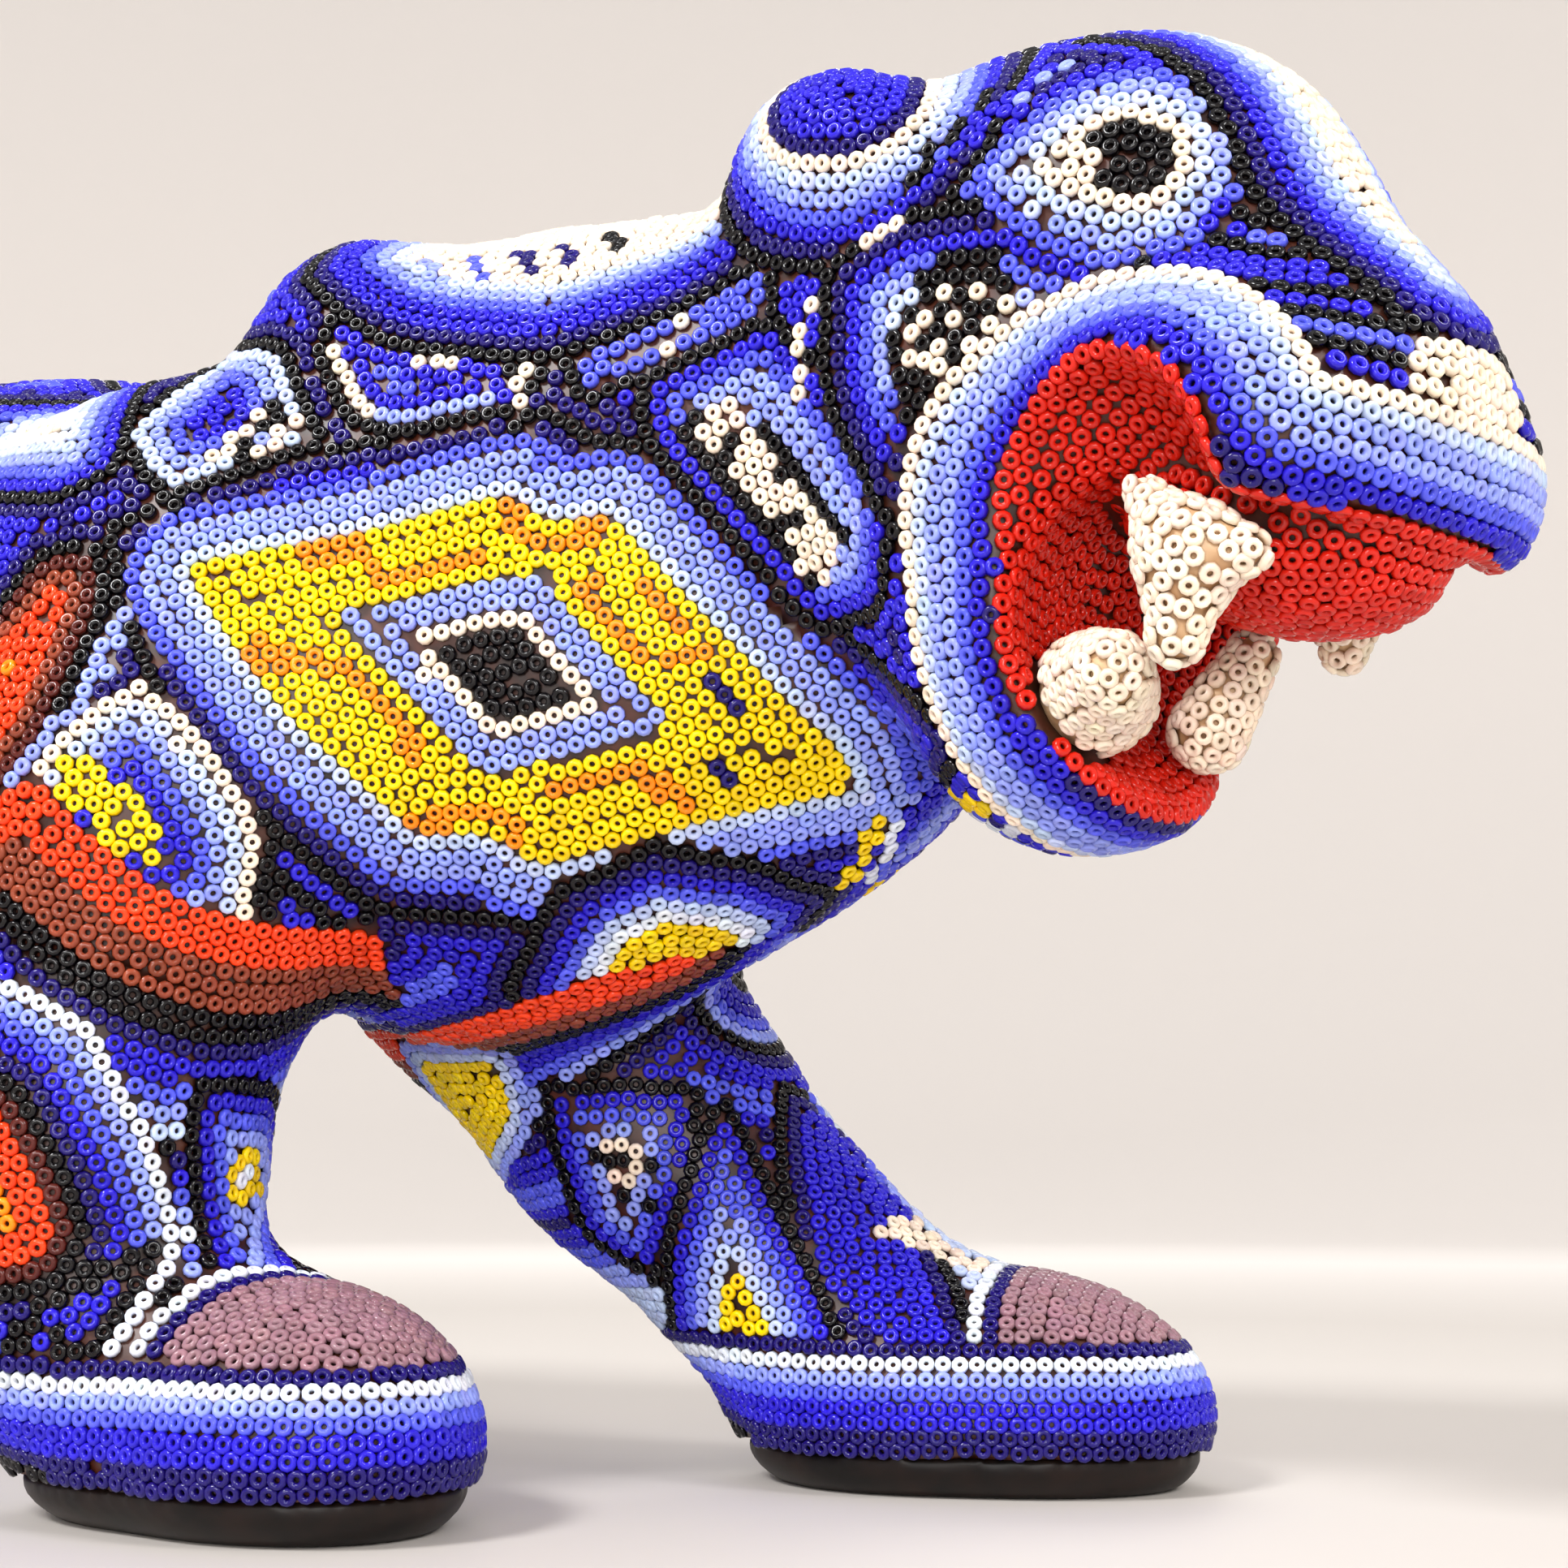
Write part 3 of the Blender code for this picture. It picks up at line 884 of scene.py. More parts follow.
def wood(name, first, second):
    return mottled(name, 90.0, 4.0, first, second, 0.7, (1, 7, 7))


def give(obj, material):
    obj.data.materials.clear()
    obj.data.materials.append(material)
    return obj


# ---------------------------------------------------------------- the bead pattern


def flank(mirror=False):
    return View((0, 0, 0), (1, 0, 0), (0, 0, 1), 75, 66, mirror=mirror)


def mouth_gap(points):
    """Distance outwards from the space that the open mouth takes."""
    q = in_head(points)
    t = egg(q, (54, 0, -24), (27, 36, 19.5), nodded(22))
    for side in (-29, 29):
        t = np.minimum(t, egg(q, (45, side, -12), (13, 13, 14), nodded(10)))
    return t


def shoulder_motifs(view):
    """The diamond with its stepped yellow field, and the cells around it."""
    outline = [(-3, 119), (20, 129), (52, 131), (57, 127), (65, 125), (103, 85), (75, 81), (49, 70)]
    outline += [(26, 72), (16, 85), (3, 104)]
    steps = [(9, 113), (47, 120), (51, 115), (59, 117), (83, 89), (46, 79), (42, 83), (33, 82), (23, 94)]
    return [
        panel(view, outline, "black navy cobalt2 mid"),
        panel(view, steps, "mid light2 pale yellow", grow=4 * ROW),
        panel(view, [(28, 106.5), (50, 110), (64, 93), (43, 88)], "light2 cream black"),
        streak(view, [(21, 116), (28, 117), (31, 112), (44, 113)], 1.1, "orange"),
        streak(view, [(22, 114.5), (27, 115)], 1.9, "orange"),
        streak(view, [(57, 109), (63, 100), (70, 101)], 1.1, "orange"),
        streak(view, [(64, 108), (67, 104)], 1.1, "orange"),
        streak(view, [(50, 85), (61, 88), (65, 84)], 1.1, "orange"),
        streak(view, [(17, 102), (24, 101)], 1.9, "orange"),
        streak(view, [(24, 101), (28, 99), (35, 90)], 1.1, "orange"),
        streak(view, [(47, 119), (51, 114), (59, 116)], 1.1, "orange"),
        streak(view, [(34, 82), (42, 83), (46, 80)], 1.1, "orange"),
        streak(view, [(71.5, 97), (73, 95)], 1.0, "navy"),
        streak(view, [(69, 87), (71, 87)], 1.0, "navy"),
        streak(view, [(78, 89), (78.5, 89)], 0.9, "mauve"),
        panel(view, [(-4, 117), (-2, 108), (-5, 92), (-14, 80), (-27, 86), (-22, 104), (-13, 116)],
              "black umber brown flame2 orange"),
        streak(view, [(1, 107), (0, 100), (-3, 93), (-9, 85)], 1.6, "light"),
        panel(view, [(1, 94), (5, 97.5), (12, 91), (17, 80), (15, 70), (4, 66), (-8, 76), (-6, 86)],
              "cream pale light mid cobalt2 navy"),
        panel(view, [(-3, 88), (2, 88.5), (7, 82), (9, 77), (4, 76), (0, 82), (-4, 84)], "yellow", False),
        panel(view, [(18, 80), (27, 73), (23, 66), (15, 68)], "black", False),
        streak(view, [(19, 77), (24, 72)], 0.9, "cobalt"),
        streak(view, [(18, 72), (22, 68)], 0.9, "cobalt"),
    ]


def neck_motifs(view):
    """Cells on the side of the neck and behind the shoulder blade."""
    return [
        panel(view, [(2, 149), (12, 146), (21, 131), (3, 123), (-5, 133)], "black pale light mid cobalt"),
        streak(view, [(8, 128), (12, 136)], 1.0, "cream"),
        streak(view, [(11, 129), (14, 136)], 1.0, "black"),
        streak(view, [(14, 130), (17, 135)], 1.0, "cream"),
        panel(view, [(-42, 148), (-8, 145), (-4, 128), (-12, 124), (-38, 130)],
              "black cobalt mid light pale white cream"),
        panel(view, [(19, 149), (18, 143), (24, 134), (30, 131), (47, 132), (51, 137), (44, 139),
                     (28, 146)], "black cobalt2 mid"),
        streak(view, [(20.5, 143), (26, 135)], 1.0, "cream"),
        streak(view, [(49, 137), (47, 133.5)], 1.0, "cream"),
        streak(view, [(30, 143), (34, 141), (37, 140)], 1.1, "cream"),
        streak(view, [(28, 133.5), (44, 134)], 0.9, "light"),
        panel(view, [(53, 138), (64, 143), (79, 148), (80, 141), (63, 135), (56, 132)], "black mid light"),
        streak(view, [(66, 139.5), (69, 141)], 1.6, "cream"),
        panel(view, [(63, 134), (80, 140), (87, 130), (96, 114), (93, 103), (83, 103), (65, 125)],
              "black cobalt mid light"),
        panel(view, [(68, 128), (74, 132), (90, 112), (82, 107)], "black", False),
        streak(view, [(73, 128), (78, 121), (85, 111)], 3.1, "cream"),
        streak(view, [(72.5, 124), (75.5, 125.5)], 0.9, "black"),
        streak(view, [(81, 121), (79, 119.5)], 0.9, "black"),
        streak(view, [(79, 114), (82, 115)], 0.9, "black"),
    ]


def hip_motifs(view):
    """A second diamond over the hip and a row of cells along the ribs."""
    return [
        panel(view, [(-152, 120), (-128, 142), (-104, 138), (-84, 108), (-100, 88), (-132, 84)],
              "black navy2 cobalt2 mid light pale"),
        panel(view, [(-140, 118), (-121, 129), (-98, 113), (-112, 98)], "yellow"),
        panel(view, [(-129, 117), (-119, 122), (-108, 112), (-117, 106)], "light pale cream black"),
        streak(view, [(-134, 119), (-127, 124), (-124, 121)], 1.1, "orange"),
        streak(view, [(-114, 101), (-107, 104), (-106, 108)], 1.1, "orange"),
        panel(view, [(-78, 138), (-50, 134), (-48, 112), (-74, 106), (-86, 120)],
              "black navy cobalt2 mid light2 pale cream"),
        panel(view, [(-68, 126), (-60, 129), (-56, 120), (-65, 116)], "black cream flame", False),
        panel(view, [(-44, 122), (-30, 120), (-30, 98), (-42, 88), (-56, 96), (-52, 110)],
              "black umber brown flame orange yellow"),
        panel(view, [(-74, 98), (-62, 92), (-66, 82), (-86, 84), (-88, 96)], "black cobalt mid light pale"),
    ]


def back_motifs():
    """Cells that sit astride the spine."""
    wrap = Wrap()
    half = [(14, 41), (20, 37), (26, 34), (40, 30), (50, 28), (64, 32), (80, 37), (90, 42)]
    saddle = half + [(x, 2 * wrap.top - s) for x, s in reversed(half)]
    motifs = [panel(wrap, saddle, "black navy cobalt2 mid light pale cream")]
    dashes = (("light", 30, 45), ("mid", 36, 46), ("navy", 42, 46.5), ("navy", 48, 47.5), ("black", 54, 49))
    for name, x, s in dashes:
        for turn in (s, 2 * wrap.top - s):
            lean = -4.0 if turn == s else 4.0
            motifs.append(streak(wrap, [(x, turn), (x + 2.5, turn + lean)], 0.95, name))
    for middle in (-18, -60, -102):
        rim = [(middle - 20, wrap.top), (middle - 8, wrap.top - 17), (middle + 12, wrap.top - 15)]
        rim += [(middle + 20, wrap.top), (middle + 12, wrap.top + 15), (middle - 8, wrap.top + 17)]
        motifs.append(panel(wrap, rim, "black cobalt2 mid light pale cream yellow"))
    return motifs


def chest_motifs():
    below = View((0, 0, 0), (1, 0, 0), (0, -1, 0), -40, 44)
    half_disc = [(38, 17), (48, 25), (61, 25), (72, 17), (78, 4), (66, -6), (46, 0)]
    return [
        panel(below, half_disc, "black navy cobalt mid pale white yellow"),
        streak(below, [(80, 5), (93, 20), (106, 35)], 1.2, "yellow"),
        streak(below, [(82, 2), (95, 17), (108, 32)], 1.2, "white"),
        streak(below, [(80, -5), (93, -20), (106, -35)], 1.2, "yellow"),
    ]


def leg_tops():
    """Flame-coloured bands where each leg meets the body, then blue bands down the leg."""
    top = "flame3 brown3 black2 navy cobalt2 mid light pale black"
    near_bands = top + " navy cobalt mid light white mid light black navy cobalt2 mid2 light2 pale"
    far_bands = "flame3 brown2 black2 cobalt2 mid light black navy cobalt2 mid2 cobalt navy cobalt2"
    far_bands += " mid2 light2 pale"

    def near(points, move):
        p = points - np.array(move, float)
        front = 64.8 - p @ np.array((0.726, -0.446, 0.523))
        rear = 97.5 - p @ np.array((-0.30, -0.40, 0.866))
        return np.minimum(front, rear)

    def level(points, middle, towards, lift):
        return (points - np.array(middle, float)) @ unit(towards) + lift

    shapes = {
        "fore_right": (lambda p: near(p, (0, 0, 0)), near_bands, 13),
        "fore_left": (lambda p: level(p, (28, 30, 60), (0.25, 0.30, -0.92), 11), far_bands, 26),
        "hind_right": (lambda p: near(p, (-122, 0, 4)), near_bands, 13),
        "hind_left": (lambda p: level(p, (-107, 30, 62), (0.05, 0.28, -0.96), 14), far_bands, 26),
    }
    motifs = []
    for name, (shape, bands, reach) in shapes.items():
        leg = LEGS[name]

        def below_top(p, shape=shape, leg=leg, reach=reach):
            return np.where(leg_shape(p, *leg) < reach, shape(p), OUTSIDE)

        motifs.append(field(below_top, bands))
    return motifs


def paw_motifs(name):
    """Toe cap and the level rows round a paw."""
    leg = LEGS[name]
    axes = turned(leg[5])

    def rows(p):
        return np.where(leg_shape(p, *leg) < 8, 18.3 - p[..., 2], OUTSIDE)

    def toe(p):
        ahead = (p - np.array((leg[4][0], leg[4][1], 0.0))) @ axes[0]
        return np.where(leg_shape(p, *leg) < 8, np.minimum(ahead - 2.2, 46.0 - p[..., 2]), OUTSIDE)

    return [
        field(toe, "white navy mauve"),
        field(rows, "navy white light mid cobalt2 navy black"),
    ]


def near_leg_motifs():
    side = flank()
    front = View((-10, -31, 40), (0.6, 0.8, 0), (0, 0, 1), 40, 45)
    lobe = [(0, 57), (5, 45), (8, 30), (4, 19), (-18, 16), (-33, 38), (-27, 57), (-10, 62)]
    return [
        panel(side, lobe, "white light mid cobalt navy black umber flame2 orange yellow"),
        panel(front, [(4, 11), (19, 10), (22, -2), (18, -13), (7, -12)], "black cobalt mid light"),
        streak(front, [(13, 0), (14, 0)], 3.0, "yellow white"),
    ]


def heel_motifs():
    """The black patch with loose blue beads behind the near toe cap."""
    side = flank()
    return [
        panel(side, [(-10, 19), (-4, 28), (7, 32), (4, 19)], "black", False),
        streak(side, [(-5, 21), (0, 26)], 0.8, "cobalt"),
        streak(side, [(0, 21), (3, 27)], 0.8, "cobalt"),
    ]


def far_leg_motifs():
    inner = View((0, 0, 0), (1, 0, 0), (0, 0, 1), 0, 45)
    return [
        panel(inner, [(8, 58), (29, 56), (29, 47), (21, 40), (10, 46)], "light pale yellow"),
        panel(inner, [(62, 53), (70, 46), (84, 30), (93, 18), (84, 12), (68, 26)], "black navy cobalt2"),
        panel(inner, [(32, 52), (53, 52), (53, 40), (46, 26), (36, 32)], "black cobalt mid light cream"),
        streak(inner, [(40, 43), (47, 42)], 0.8, "black"),
        streak(inner, [(41, 38), (48, 36)], 0.8, "black"),
        panel(inner, [(56, 51), (66, 33), (84, 2), (45, 2), (49, 30)],
              "black cobalt mid light pale yellow"),
        streak(inner, [(78, 34), (92, 28)], 1.5, "cream"),
    ]


def outer_leg_motifs(name):
    """A lobe on the outer side of the legs that face away."""
    (_, _, _), knee, ankle, _, _, _ = LEGS[name]
    x = (knee[0] + ankle[0]) / 2
    view = flank(name.endswith("left"))
    lobe = [(x + 16, 50), (x + 17, 36), (x + 10, 22), (x - 6, 20), (x - 16, 30), (x - 18, 46), (x - 4, 56)]
    return [panel(view, lobe, "white pale mid cobalt navy black umber flame orange yellow")]


def head_motifs(mirror):
    cheek = View((20, -28, 5), (0.98, 0.2, 0), (-0.033, 0.17, 0.98), 60, 75, head=True, mirror=mirror)

    def ear(points):
        q = in_head(points)
        side = 1 if mirror else -1
        return -egg(q, (-8, 29 * side, 26), (22, 34, 18))

    return [
        field(ear, "black navy cobalt mid light pale cream navy cobalt"),
        panel(cheek, [(-22, 3), (-14, 10), (0, 13), (20, 9), (24, 4), (2, -7), (-3, -24), (-16, -12)],
              "black navy cobalt mid light pale"),
        streak(cheek, [(-12, 12), (-18, 8)], 1.0, "cream"),
        streak(cheek, [(-23, -1), (-21, -12)], 1.0, "cream"),
        panel(cheek, [(-10, -6), (-7, 6), (1, 8), (7, 2), (5, -9), (-3, -14)], "black", False),
        streak(cheek, [(-6.5, -4), (-4.5, 3.5)], 1.0, "cream"),
        streak(cheek, [(-2.5, -5), (-0.5, 4)], 1.0, "cream"),
        streak(cheek, [(1.5, -6), (3.5, 2)], 1.0, "cream"),
        streak(cheek, [(-6.5, -5), (3, -8)], 1.2, "cream"),
        panel(cheek, [(-3, 16), (5.5, 27.5), (11.5, 29.5), (19, 27), (22.5, 20), (20.5, 14),
                      (14.5, 11), (6.5, 12)], "mid light pale cream black", grow=ROW),
        streak(cheek, [(5.5, 18), (8, 18.5)], 1.6, "cream"),
        streak(cheek, [(-6, 23), (-1, 31)], 1.0, "light"),
        streak(cheek, [(-9, 18), (-4, 30)], 1.2, "cobalt"),
        streak(cheek, [(-14, 15), (-9, 27)], 1.0, "black"),
        panel(cheek, [(22, 14), (23, 19), (28, 14)], "cobalt", False),
    ]


def whisker_rows():
    """Dark and blue rows that follow the upper lip from the cheek to the nose."""

    def pad(points):
        ahead, _, height = in_head(points).T
        return np.where((ahead > 24) & (height > -14), LIP_WIDTH + 8 * ROW - mouth_gap(points), OUTSIDE)

    bands = "navy black cobalt black mid black cobalt2 black cobalt black mid black cobalt black"
    return [field(pad, bands)]


def muzzle_motifs():
    face = View((45, 0, 25), (0, 1, 0), (-0.8, 0, 0.6), 50, 60, head=True)
    half = [(-15, 34), (-13.5, 14), (-13.5, 2), (-12, -8), (-9, -22)]
    bridge = half + [(0, -26)] + [(-u, v) for u, v in reversed(half)] + [(0, 46)]
    nose = View((66, 0, 6), (0, 1, 0), (-0.2, 0, 0.98), 30, 30, head=True)
    return [
        panel(face, bridge, "black navy cobalt mid light pale cream"),
        panel(nose, [(-8, 5), (8, 5), (9, -1), (3, -9), (-3, -9), (-9, -1)], "cream"),
        field(lambda p: LIP_WIDTH - mouth_gap(p), "cream pale light2 mid cobalt navy"),
        field(lambda p: 1.1 - mouth_gap(p), "red"),
    ]


def tail_motifs():
    ends = [np.array(t[:3], float) for t in TAIL]

    def along(points):
        best = np.full(len(points), 1e9)
        place = np.zeros(len(points))
        walked = 0.0
        for a, b in zip(ends[:-1], ends[1:]):
            length = np.linalg.norm(b - a)
            part = np.clip((points - a) @ (b - a) / length**2, 0, 1)
            away = np.linalg.norm(points - a - part[:, None] * (b - a), axis=1)
            nearer = away < best
            best[nearer] = away[nearer]
            place[nearer] = walked + part[nearer] * length
            walked += length
        return np.where(best < 14, place, OUTSIDE)

    bands = "black navy cobalt2 mid light pale light mid cobalt2 navy black2 brown flame2 yellow flame2"
    bands += " brown black navy cobalt2 mid light pale light mid cobalt navy black cream2 black2 cobalt2"
    return [field(lambda p: along(p) - 14, bands + " mid2 light2 pale2 white2 black3 navy3 cobalt")]


def all_motifs():
    motifs = shoulder_motifs(flank()) + shoulder_motifs(flank(True))
    motifs += neck_motifs(flank()) + neck_motifs(flank(True))
    motifs += hip_motifs(flank()) + hip_motifs(flank(True))
    motifs += back_motifs() + chest_motifs() + leg_tops()
    motifs += near_leg_motifs() + far_leg_motifs()
    motifs += outer_leg_motifs("fore_left") + outer_leg_motifs("hind_left") + outer_leg_motifs("hind_right")
    for name in LEGS:
        motifs += paw_motifs(name)
    motifs += heel_motifs()
    motifs += tail_motifs()
    motifs += whisker_rows() + head_motifs(False) + head_motifs(True) + muzzle_motifs()
    return motifs


GROUND = "black navy cobalt2 mid light pale2 light mid cobalt navy"
HEAD_GROUND = "black cobalt navy mid black cobalt black mid navy black cobalt light"


def ground_colours(points, outline):
    gap = distance_to(points, outline)
    head = np.array(block_of(points) == "head")
    colours = np.zeros(len(points), int)
    for where, bands in ((~head, GROUND), (head, HEAD_GROUND)):
        rows = np.array(expand(bands))
        row = np.floor(gap[where] / ROW + 0.5).astype(int)
        colours[where] = rows[np.minimum(row, len(rows) - 1)]
    return colours


def owner_of(points, normals, motifs):
    """The number of the last rowed motif that each point lies in, or -1."""
    owner = np.full(len(points), -1)
    for number, (depth, _, rows) in enumerate(motifs):
        if rows:
            owner[depth(points, normals) > -0.5 * ROW] = number
    return owner


def paint_over(spots, normals, colours, owner, motifs):
    """Recolours beads inside the small motifs that have no rows of their own."""
    for number, (depth, bands, rows) in enumerate(motifs):
        if rows:
            continue
        here = depth(spots, normals)
        inside = (here >= 0) & (owner < number)
        tones = np.array(expand(bands))
        colours[inside] = tones[np.minimum((here[inside] / ROW).astype(int), len(tones) - 1)]


def colour_like_neighbours(new, spots, colours, owner, motifs):
    """The colour of the nearest laid bead of the same motif, or of any if none is close."""
    belongs = owner_of(new, slope_of(figure, new), motifs)
    tree = tree_of(spots)
    found = np.zeros(len(new), int)
    for n, p in enumerate(new):
        near = [m for _, m, _ in tree.find_n(p, 6)]
        same = [m for m in near if owner[m] == belongs[n]]
        found[n] = colours[(same or near)[0]]
    return found, belongs


# ---------------------------------------------------------------- the figure


def solid_above_soles(points):
    return np.maximum(figure(points), FLOOR_OF_PAWS - points[..., 2])


def lay_figure(skin):
    verts, quads, verts_normals = skin
    triangles = np.concatenate([quads[:, [0, 1, 2]], quads[:, [0, 2, 3]]])
    tree = BVHTree.FromPolygons(verts.tolist(), quads.tolist())
    motifs = all_motifs()
    depths = [depth(verts, verts_normals) if rows else None for depth, _, rows in motifs]

    def not_later(points, number):
        normals = slope_of(figure, points)
        keep = points[:, 2] > LOWEST_BEAD
        for depth, _, rows in motifs[number + 1 :]:
            if rows:
                keep &= depth(points, normals) < -0.5 * ROW
        return keep

    bag = Bag()
    skin = (verts, triangles, not_later)
    outline = [verts[np.abs(verts[:, 2] - 6.0) < 1.2]]
    for number in range(len(motifs) - 1, -1, -1):
        if motifs[number][2]:
            outline += lay_rows(bag, depths[number], motifs[number][1], number, skin)
    outline = np.concatenate(outline)
    covered = owner_of(verts, verts_normals, motifs) >= 0
    gap = distance_to(verts, outline)
    gap[covered] = -gap[covered]
    lay_ground(bag, gap, skin, outline)
    return finish_laying(bag, motifs, tree)


def lay_ground(bag, gap, skin, outline):
    """Rows at equal distances from all the outlines, over the skin that no motif covers."""
    verts, triangles, later = skin
    for k in range(1, int(min(gap.max(), 60.0) / ROW) + 1):
        for points, closed in contour(gap - k * ROW, verts, triangles):
            for run, whole in cut_runs(points, closed, later(points, -1)):
                spots, ahead = spaced(run, whole)
                bag.add(spots, ahead, ground_colours(spots, outline), -1)


def finish_laying(bag, motifs, tree):
    spots = np.array(bag.laid.spots)
    ahead, colours, owner = np.array(bag.ahead), np.array(bag.colour), np.array(bag.motif)
    spots, normals = relax(spots, figure, 15)
    stay = thinned(spots, 0.84 * PITCH)
    spots, ahead, colours, owner = spots[stay], ahead[stay], colours[stay], owner[stay]
    more, _ = fill_gaps(spots, ahead, tree, 0.79 * PITCH)
    more_colours, more_owner = colour_like_neighbours(more, spots, colours, owner, motifs)
    spots = np.concatenate([spots, more])
    colours = np.concatenate([colours, more_colours])
    owner = np.concatenate([owner, more_owner])
    spots, normals = relax(spots, figure, 20)
    stay = thinned(spots, 0.85 * PITCH)
    teeth = np.min([fang_field(name)(spots) for name in FANGS], axis=0)
    stay &= (spots[:, 2] > LOWEST_BEAD) & (teeth > 0.6)
    spots, normals, colours, owner = spots[stay], normals[stay], colours[stay], owner[stay]
    paint_over(spots, normals, colours, owner, motifs)
    return spots - normals * BEAD_DEPTH, normals, colours


def shades_of(colours, luck):
    """Bead colours with a little difference from bead to bead."""
    base = PALETTE[colours]
    value = luck.normal(1.0, 0.06, (len(colours), 1)).clip(0.8, 1.2)
    tint = luck.normal(1.0, 0.02, (len(colours), 3))
    return (base * value * tint).clip(0, 1)


def ride(obj):
    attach(obj, "root")
    return obj


def make_bead_pieces(spots, normals, shades, blocks, material, luck):
    for block in BLOCKS:
        mine = np.nonzero(blocks == block)[0]
        mine = mine[np.argsort(spots[mine, 0], kind="stable")]
        parts = math.ceil(len(mine) / BEADS_PER_PIECE)
        for n, group in enumerate(np.array_split(mine, parts)):
            name = f"{block}_beads_{n + 1}"
            obj = bead_piece(name, spots[group], normals[group], shades[group], luck)
            ride(give(obj, material))


def make_wax(skin, material):
    verts, quads, normals = skin
    verts = verts - normals * WAX_DEPTH
    verts[:, 2] = np.maximum(verts[:, 2], FLOOR_OF_PAWS)
    blocks = block_of(verts[quads].mean(1))
    for block in BLOCKS:
        obj = shell_piece(block + "_wax", verts, quads[blocks == block], 1.1)
        ride(give(obj, material))
        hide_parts(block + "_coat")


def make_sole(name, leg, material):
    """The dark wax foot under a paw, drawn in below the beads and rounded towards the floor."""
    paw = leg[4]

    def sole(p):
        height = p[..., 2]
        level = p.copy()
        level[..., 2] = 5.8
        inset = 1.5 + 3.2 * (1 - height.clip(0, 4.6) / 4.6) ** 2
        return np.maximum(leg_shape(level, *leg) + inset, np.maximum(0.02 - height, height - 5.2))

    low = (paw[0] - 38, paw[1] - 30, -1.01)
    high = (paw[0] + 36, paw[1] + 30, 7.0)
    verts, quads = skin_of(sole, low, high, 1.0)
    piece = mesh_of("dark_" + name, verts, quads, 4)
    ride(give(piece, material))
    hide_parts(name)


def fang_field(name):
    """A fang as a distance to the tops of its beads."""
    root, tip, r1, r2 = FANGS[name]
    start, end = from_head(root), from_head(tip)
    if name != "fang_upper_right":
        return lambda p: limb(p, start, end, 0.86 * r1, 0.9 * r2)
    rear, front = from_head((46.5, -22.0, -9.5)), from_head((60.5, -19.5, -13.5))
    middle = from_head((54.0, -20.3, -15.0))

    def blade(p):
        d = limb(p, rear, middle, 1.8, 5.2)
        d = join(d, limb(p, front, middle, 2.6, 5.2), 2)
        return join(d, limb(p, middle, end, 5.2, r2), 2)

    return blade


def make_fang(name, fang, bead, wax_material, luck):
    shape = fang_field(name)
    middle = (from_head(fang[0]) + from_head(fang[1])) / 2
    low, high = middle - 18, middle + 18

    def body(p):
        return np.maximum(shape(p) + WAX_DEPTH, -(figure(p) + 2.6))

    verts, quads = skin_of(body, low, high, 0.9)
    wax = mesh_of(name + "_wax", verts, quads, 4)
    ride(give(wax, wax_material))
    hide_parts(name)
    verts, quads = skin_of(shape, low, high, 1.2)
    tree = BVHTree.FromPolygons(verts.tolist(), quads.tolist())
    tip = from_head(fang[1])
    ahead = unit(tip - from_head(fang[0]))
    start = np.array([tip + ahead * 0.9 * fang[3]])
    more, _ = fill_gaps(start, HEAD[1:2], tree, 0.9 * PITCH)
    spots, normals = relax(np.concatenate([start, more]), shape, 12)
    keep = (figure(spots) > 0.3) & thinned(spots, 0.91 * PITCH)
    spots, normals = spots[keep] - normals[keep] * BEAD_DEPTH, normals[keep]
    colours = np.full(len(spots), NAMES.index("cream"))
    beads = bead_piece(name + "_beads", spots, normals, shades_of(colours, luck), luck)
    ride(give(beads, bead))


# ---------------------------------------------------------------- stage, light and camera


def show_true_colours():
    bpy.context.scene.view_settings.view_transform = "Standard"


def make_stage():
    """A round pale floor whose rim sweeps up into a wall, the same from every side."""
    flat, bend, top, sides = 1.5, 0.9, 2.6, 96
    profile = [(flat * k / 3, 0.0) for k in range(4)]
    for k in range(1, 13):
        a = math.pi / 2 * k / 12
        profile.append((flat + bend * math.sin(a), bend * (1 - math.cos(a))))
    profile.append((flat + bend, top))
    verts = []
    for r, z in profile:
        turn = np.arange(sides) * 2 * math.pi / sides
        verts.append(np.stack([r * np.cos(turn), r * np.sin(turn), np.full(sides, z)], -1))
    verts = np.concatenate(verts) * 1000.0 - np.array(MOVE)
    faces = []
    for j in range(len(profile) - 1):
        for k in range(sides):
            n = (k + 1) % sides
            faces.append((j * sides + k, (j + 1) * sides + k, (j + 1) * sides + n, j * sides + n))
    floor = mesh_of("floor", verts, np.array(faces), 4)
    material, nodes, links, shader = material_nodes("pale_floor")
    place = nodes.new("ShaderNodeTexCoord")
    away = nodes.new("ShaderNodeVectorMath")
    away.operation = "LENGTH"
    links.new(place.outputs["Object"], away.inputs[0])
    near, far = srgb(203, 197, 191), srgb(240, 235, 231)
    tones = two_tones(nodes, links, away.outputs["Value"], near, far, 0.45, 1.0)
    links.new(tones.outputs["Color"], shader.inputs["Base Color"])
    glow = two_tones(nodes, links, away.outputs["Value"], (0.0, 0.0, 0.0), (0.9, 0.87, 0.85), 0.5, 1.0)
    links.new(glow.outputs["Color"], shader.inputs["Emission Color"])
    shader.inputs["Emission Strength"].default_value = 0.06
    shader.inputs["Roughness"].default_value = 0.6
    give(floor, material)


def area_light(name, place, target, size, power):
    data = bpy.data.lights.new(name, "AREA")
    data.shape = "RECTANGLE"
    data.size, data.size_y = size
    data.energy = power
    lamp = bpy.data.objects.new(name, data)
    bpy.context.scene.collection.objects.link(lamp)
    lamp.location = place
    away = Vector(place) - Vector(target)
    lamp.rotation_mode = "QUATERNION"
    lamp.rotation_quaternion = away.to_track_quat("Z", "Y")


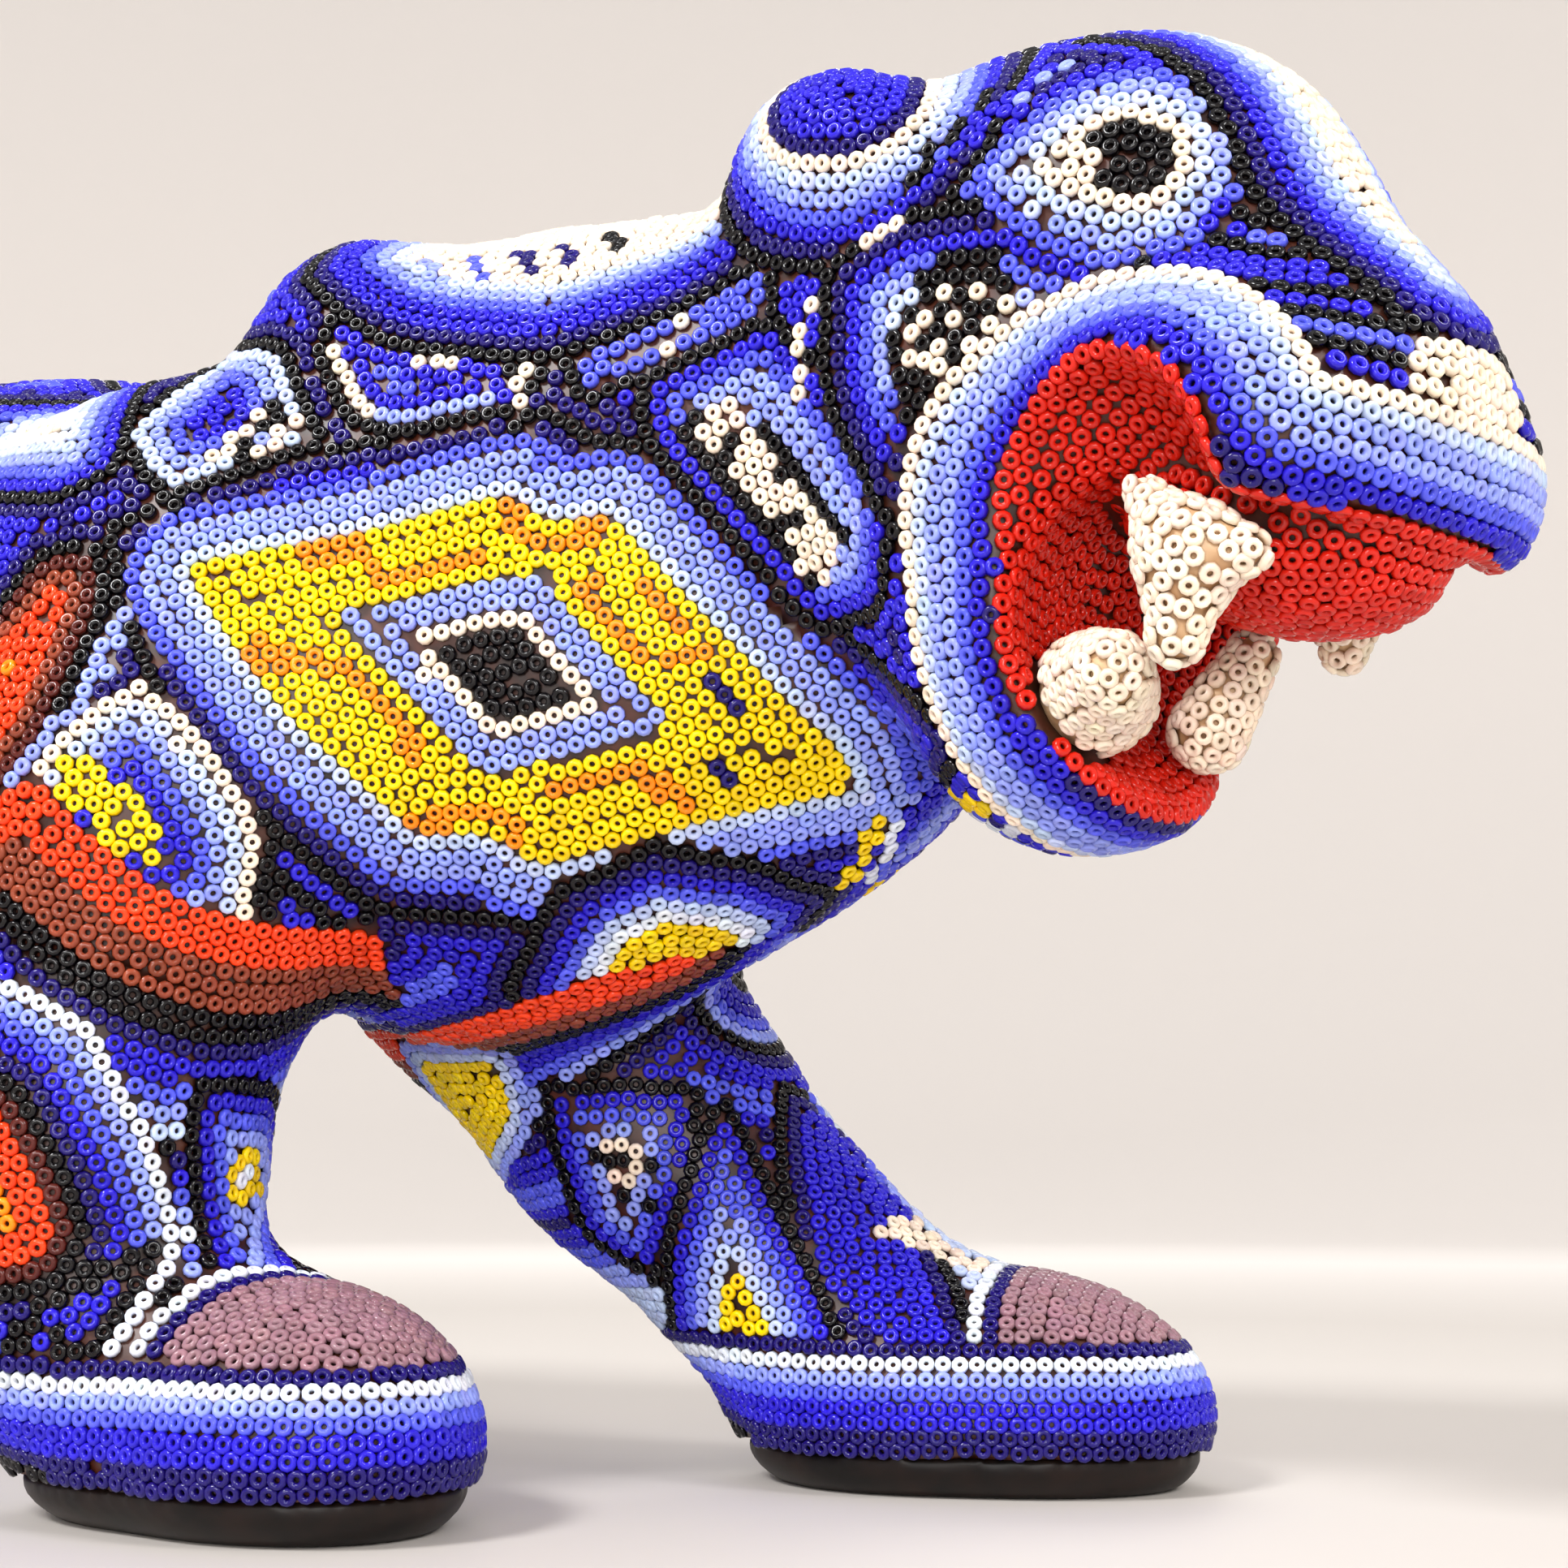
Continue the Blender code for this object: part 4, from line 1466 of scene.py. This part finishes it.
def make_lights():
    world = bpy.data.worlds.new("soft_room")
    bpy.context.scene.world = world
    world.use_nodes = True
    world.node_tree.nodes["Background"].inputs["Color"].default_value = (1.0, 0.995, 0.985, 1.0)
    world.node_tree.nodes["Background"].inputs["Strength"].default_value = 0.6
    middle = (0.0, 0.0, 0.09)
    area_light("key", (-0.35, -0.8, 0.95), middle, (0.3, 0.24), 13)
    area_light("front", (0.35, -1.2, 0.3), middle, (0.6, 0.3), 8)
    area_light("side", (0.95, -0.35, 0.75), middle, (0.3, 0.4), 6)
    area_light("back", (-0.3, 1.1, 1.0), middle, (0.8, 0.6), 5)


def make_camera():
    data = bpy.data.cameras.new("camera")
    data.lens = 50.0
    data.sensor_width = 36.0
    camera = bpy.data.objects.new("camera", data)
    bpy.context.scene.collection.objects.link(camera)
    turn, pitch = math.radians(18.0), math.radians(10.64)
    right = Vector((math.cos(turn), math.sin(turn), 0.0))
    back = Vector((math.sin(turn) * math.cos(pitch), -math.cos(turn) * math.cos(pitch), -math.sin(pitch)))
    up = back.cross(right)
    axes = Matrix((right, up, back)).transposed().to_4x4()
    camera.matrix_world = Matrix.Translation((0.1764, -0.2622, 0.038)) @ axes
    bpy.context.scene.camera = camera


def main():
    luck = np.random.default_rng(7)
    verts, quads = skin_of(solid_above_soles, FIGURE_LOW, FIGURE_HIGH, SKIN_STEP)
    skin = (verts, quads, slope_of(figure, verts))
    spots, normals, colours = lay_figure(skin)
    shades = shades_of(colours, luck)
    bead = glass_bead()
    wax = brown_wax()
    make_bead_pieces(spots, normals, shades, block_of(spots), bead, luck)
    make_wax(skin, wax)
    fang_wax = pale_wax()
    for name, fang in FANGS.items():
        make_fang(name, fang, bead, fang_wax, luck)
    core = wood("carved_wood_look", srgb(150, 108, 66), srgb(186, 142, 92))
    dowel = wood("dowel_look", srgb(190, 150, 100), srgb(216, 182, 134))
    sole = dark_sole()
    for name, leg in LEGS.items():
        make_sole("sole_" + name, leg, sole)
    for name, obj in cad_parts.items():
        if name.endswith("_core"):
            give(obj, core)
        if name.startswith("dowel"):
            give(obj, dowel)
    show_true_colours()
    make_stage()
    make_lights()
    make_camera()
    return len(spots)


bead_count = main()
print("beads", bead_count)
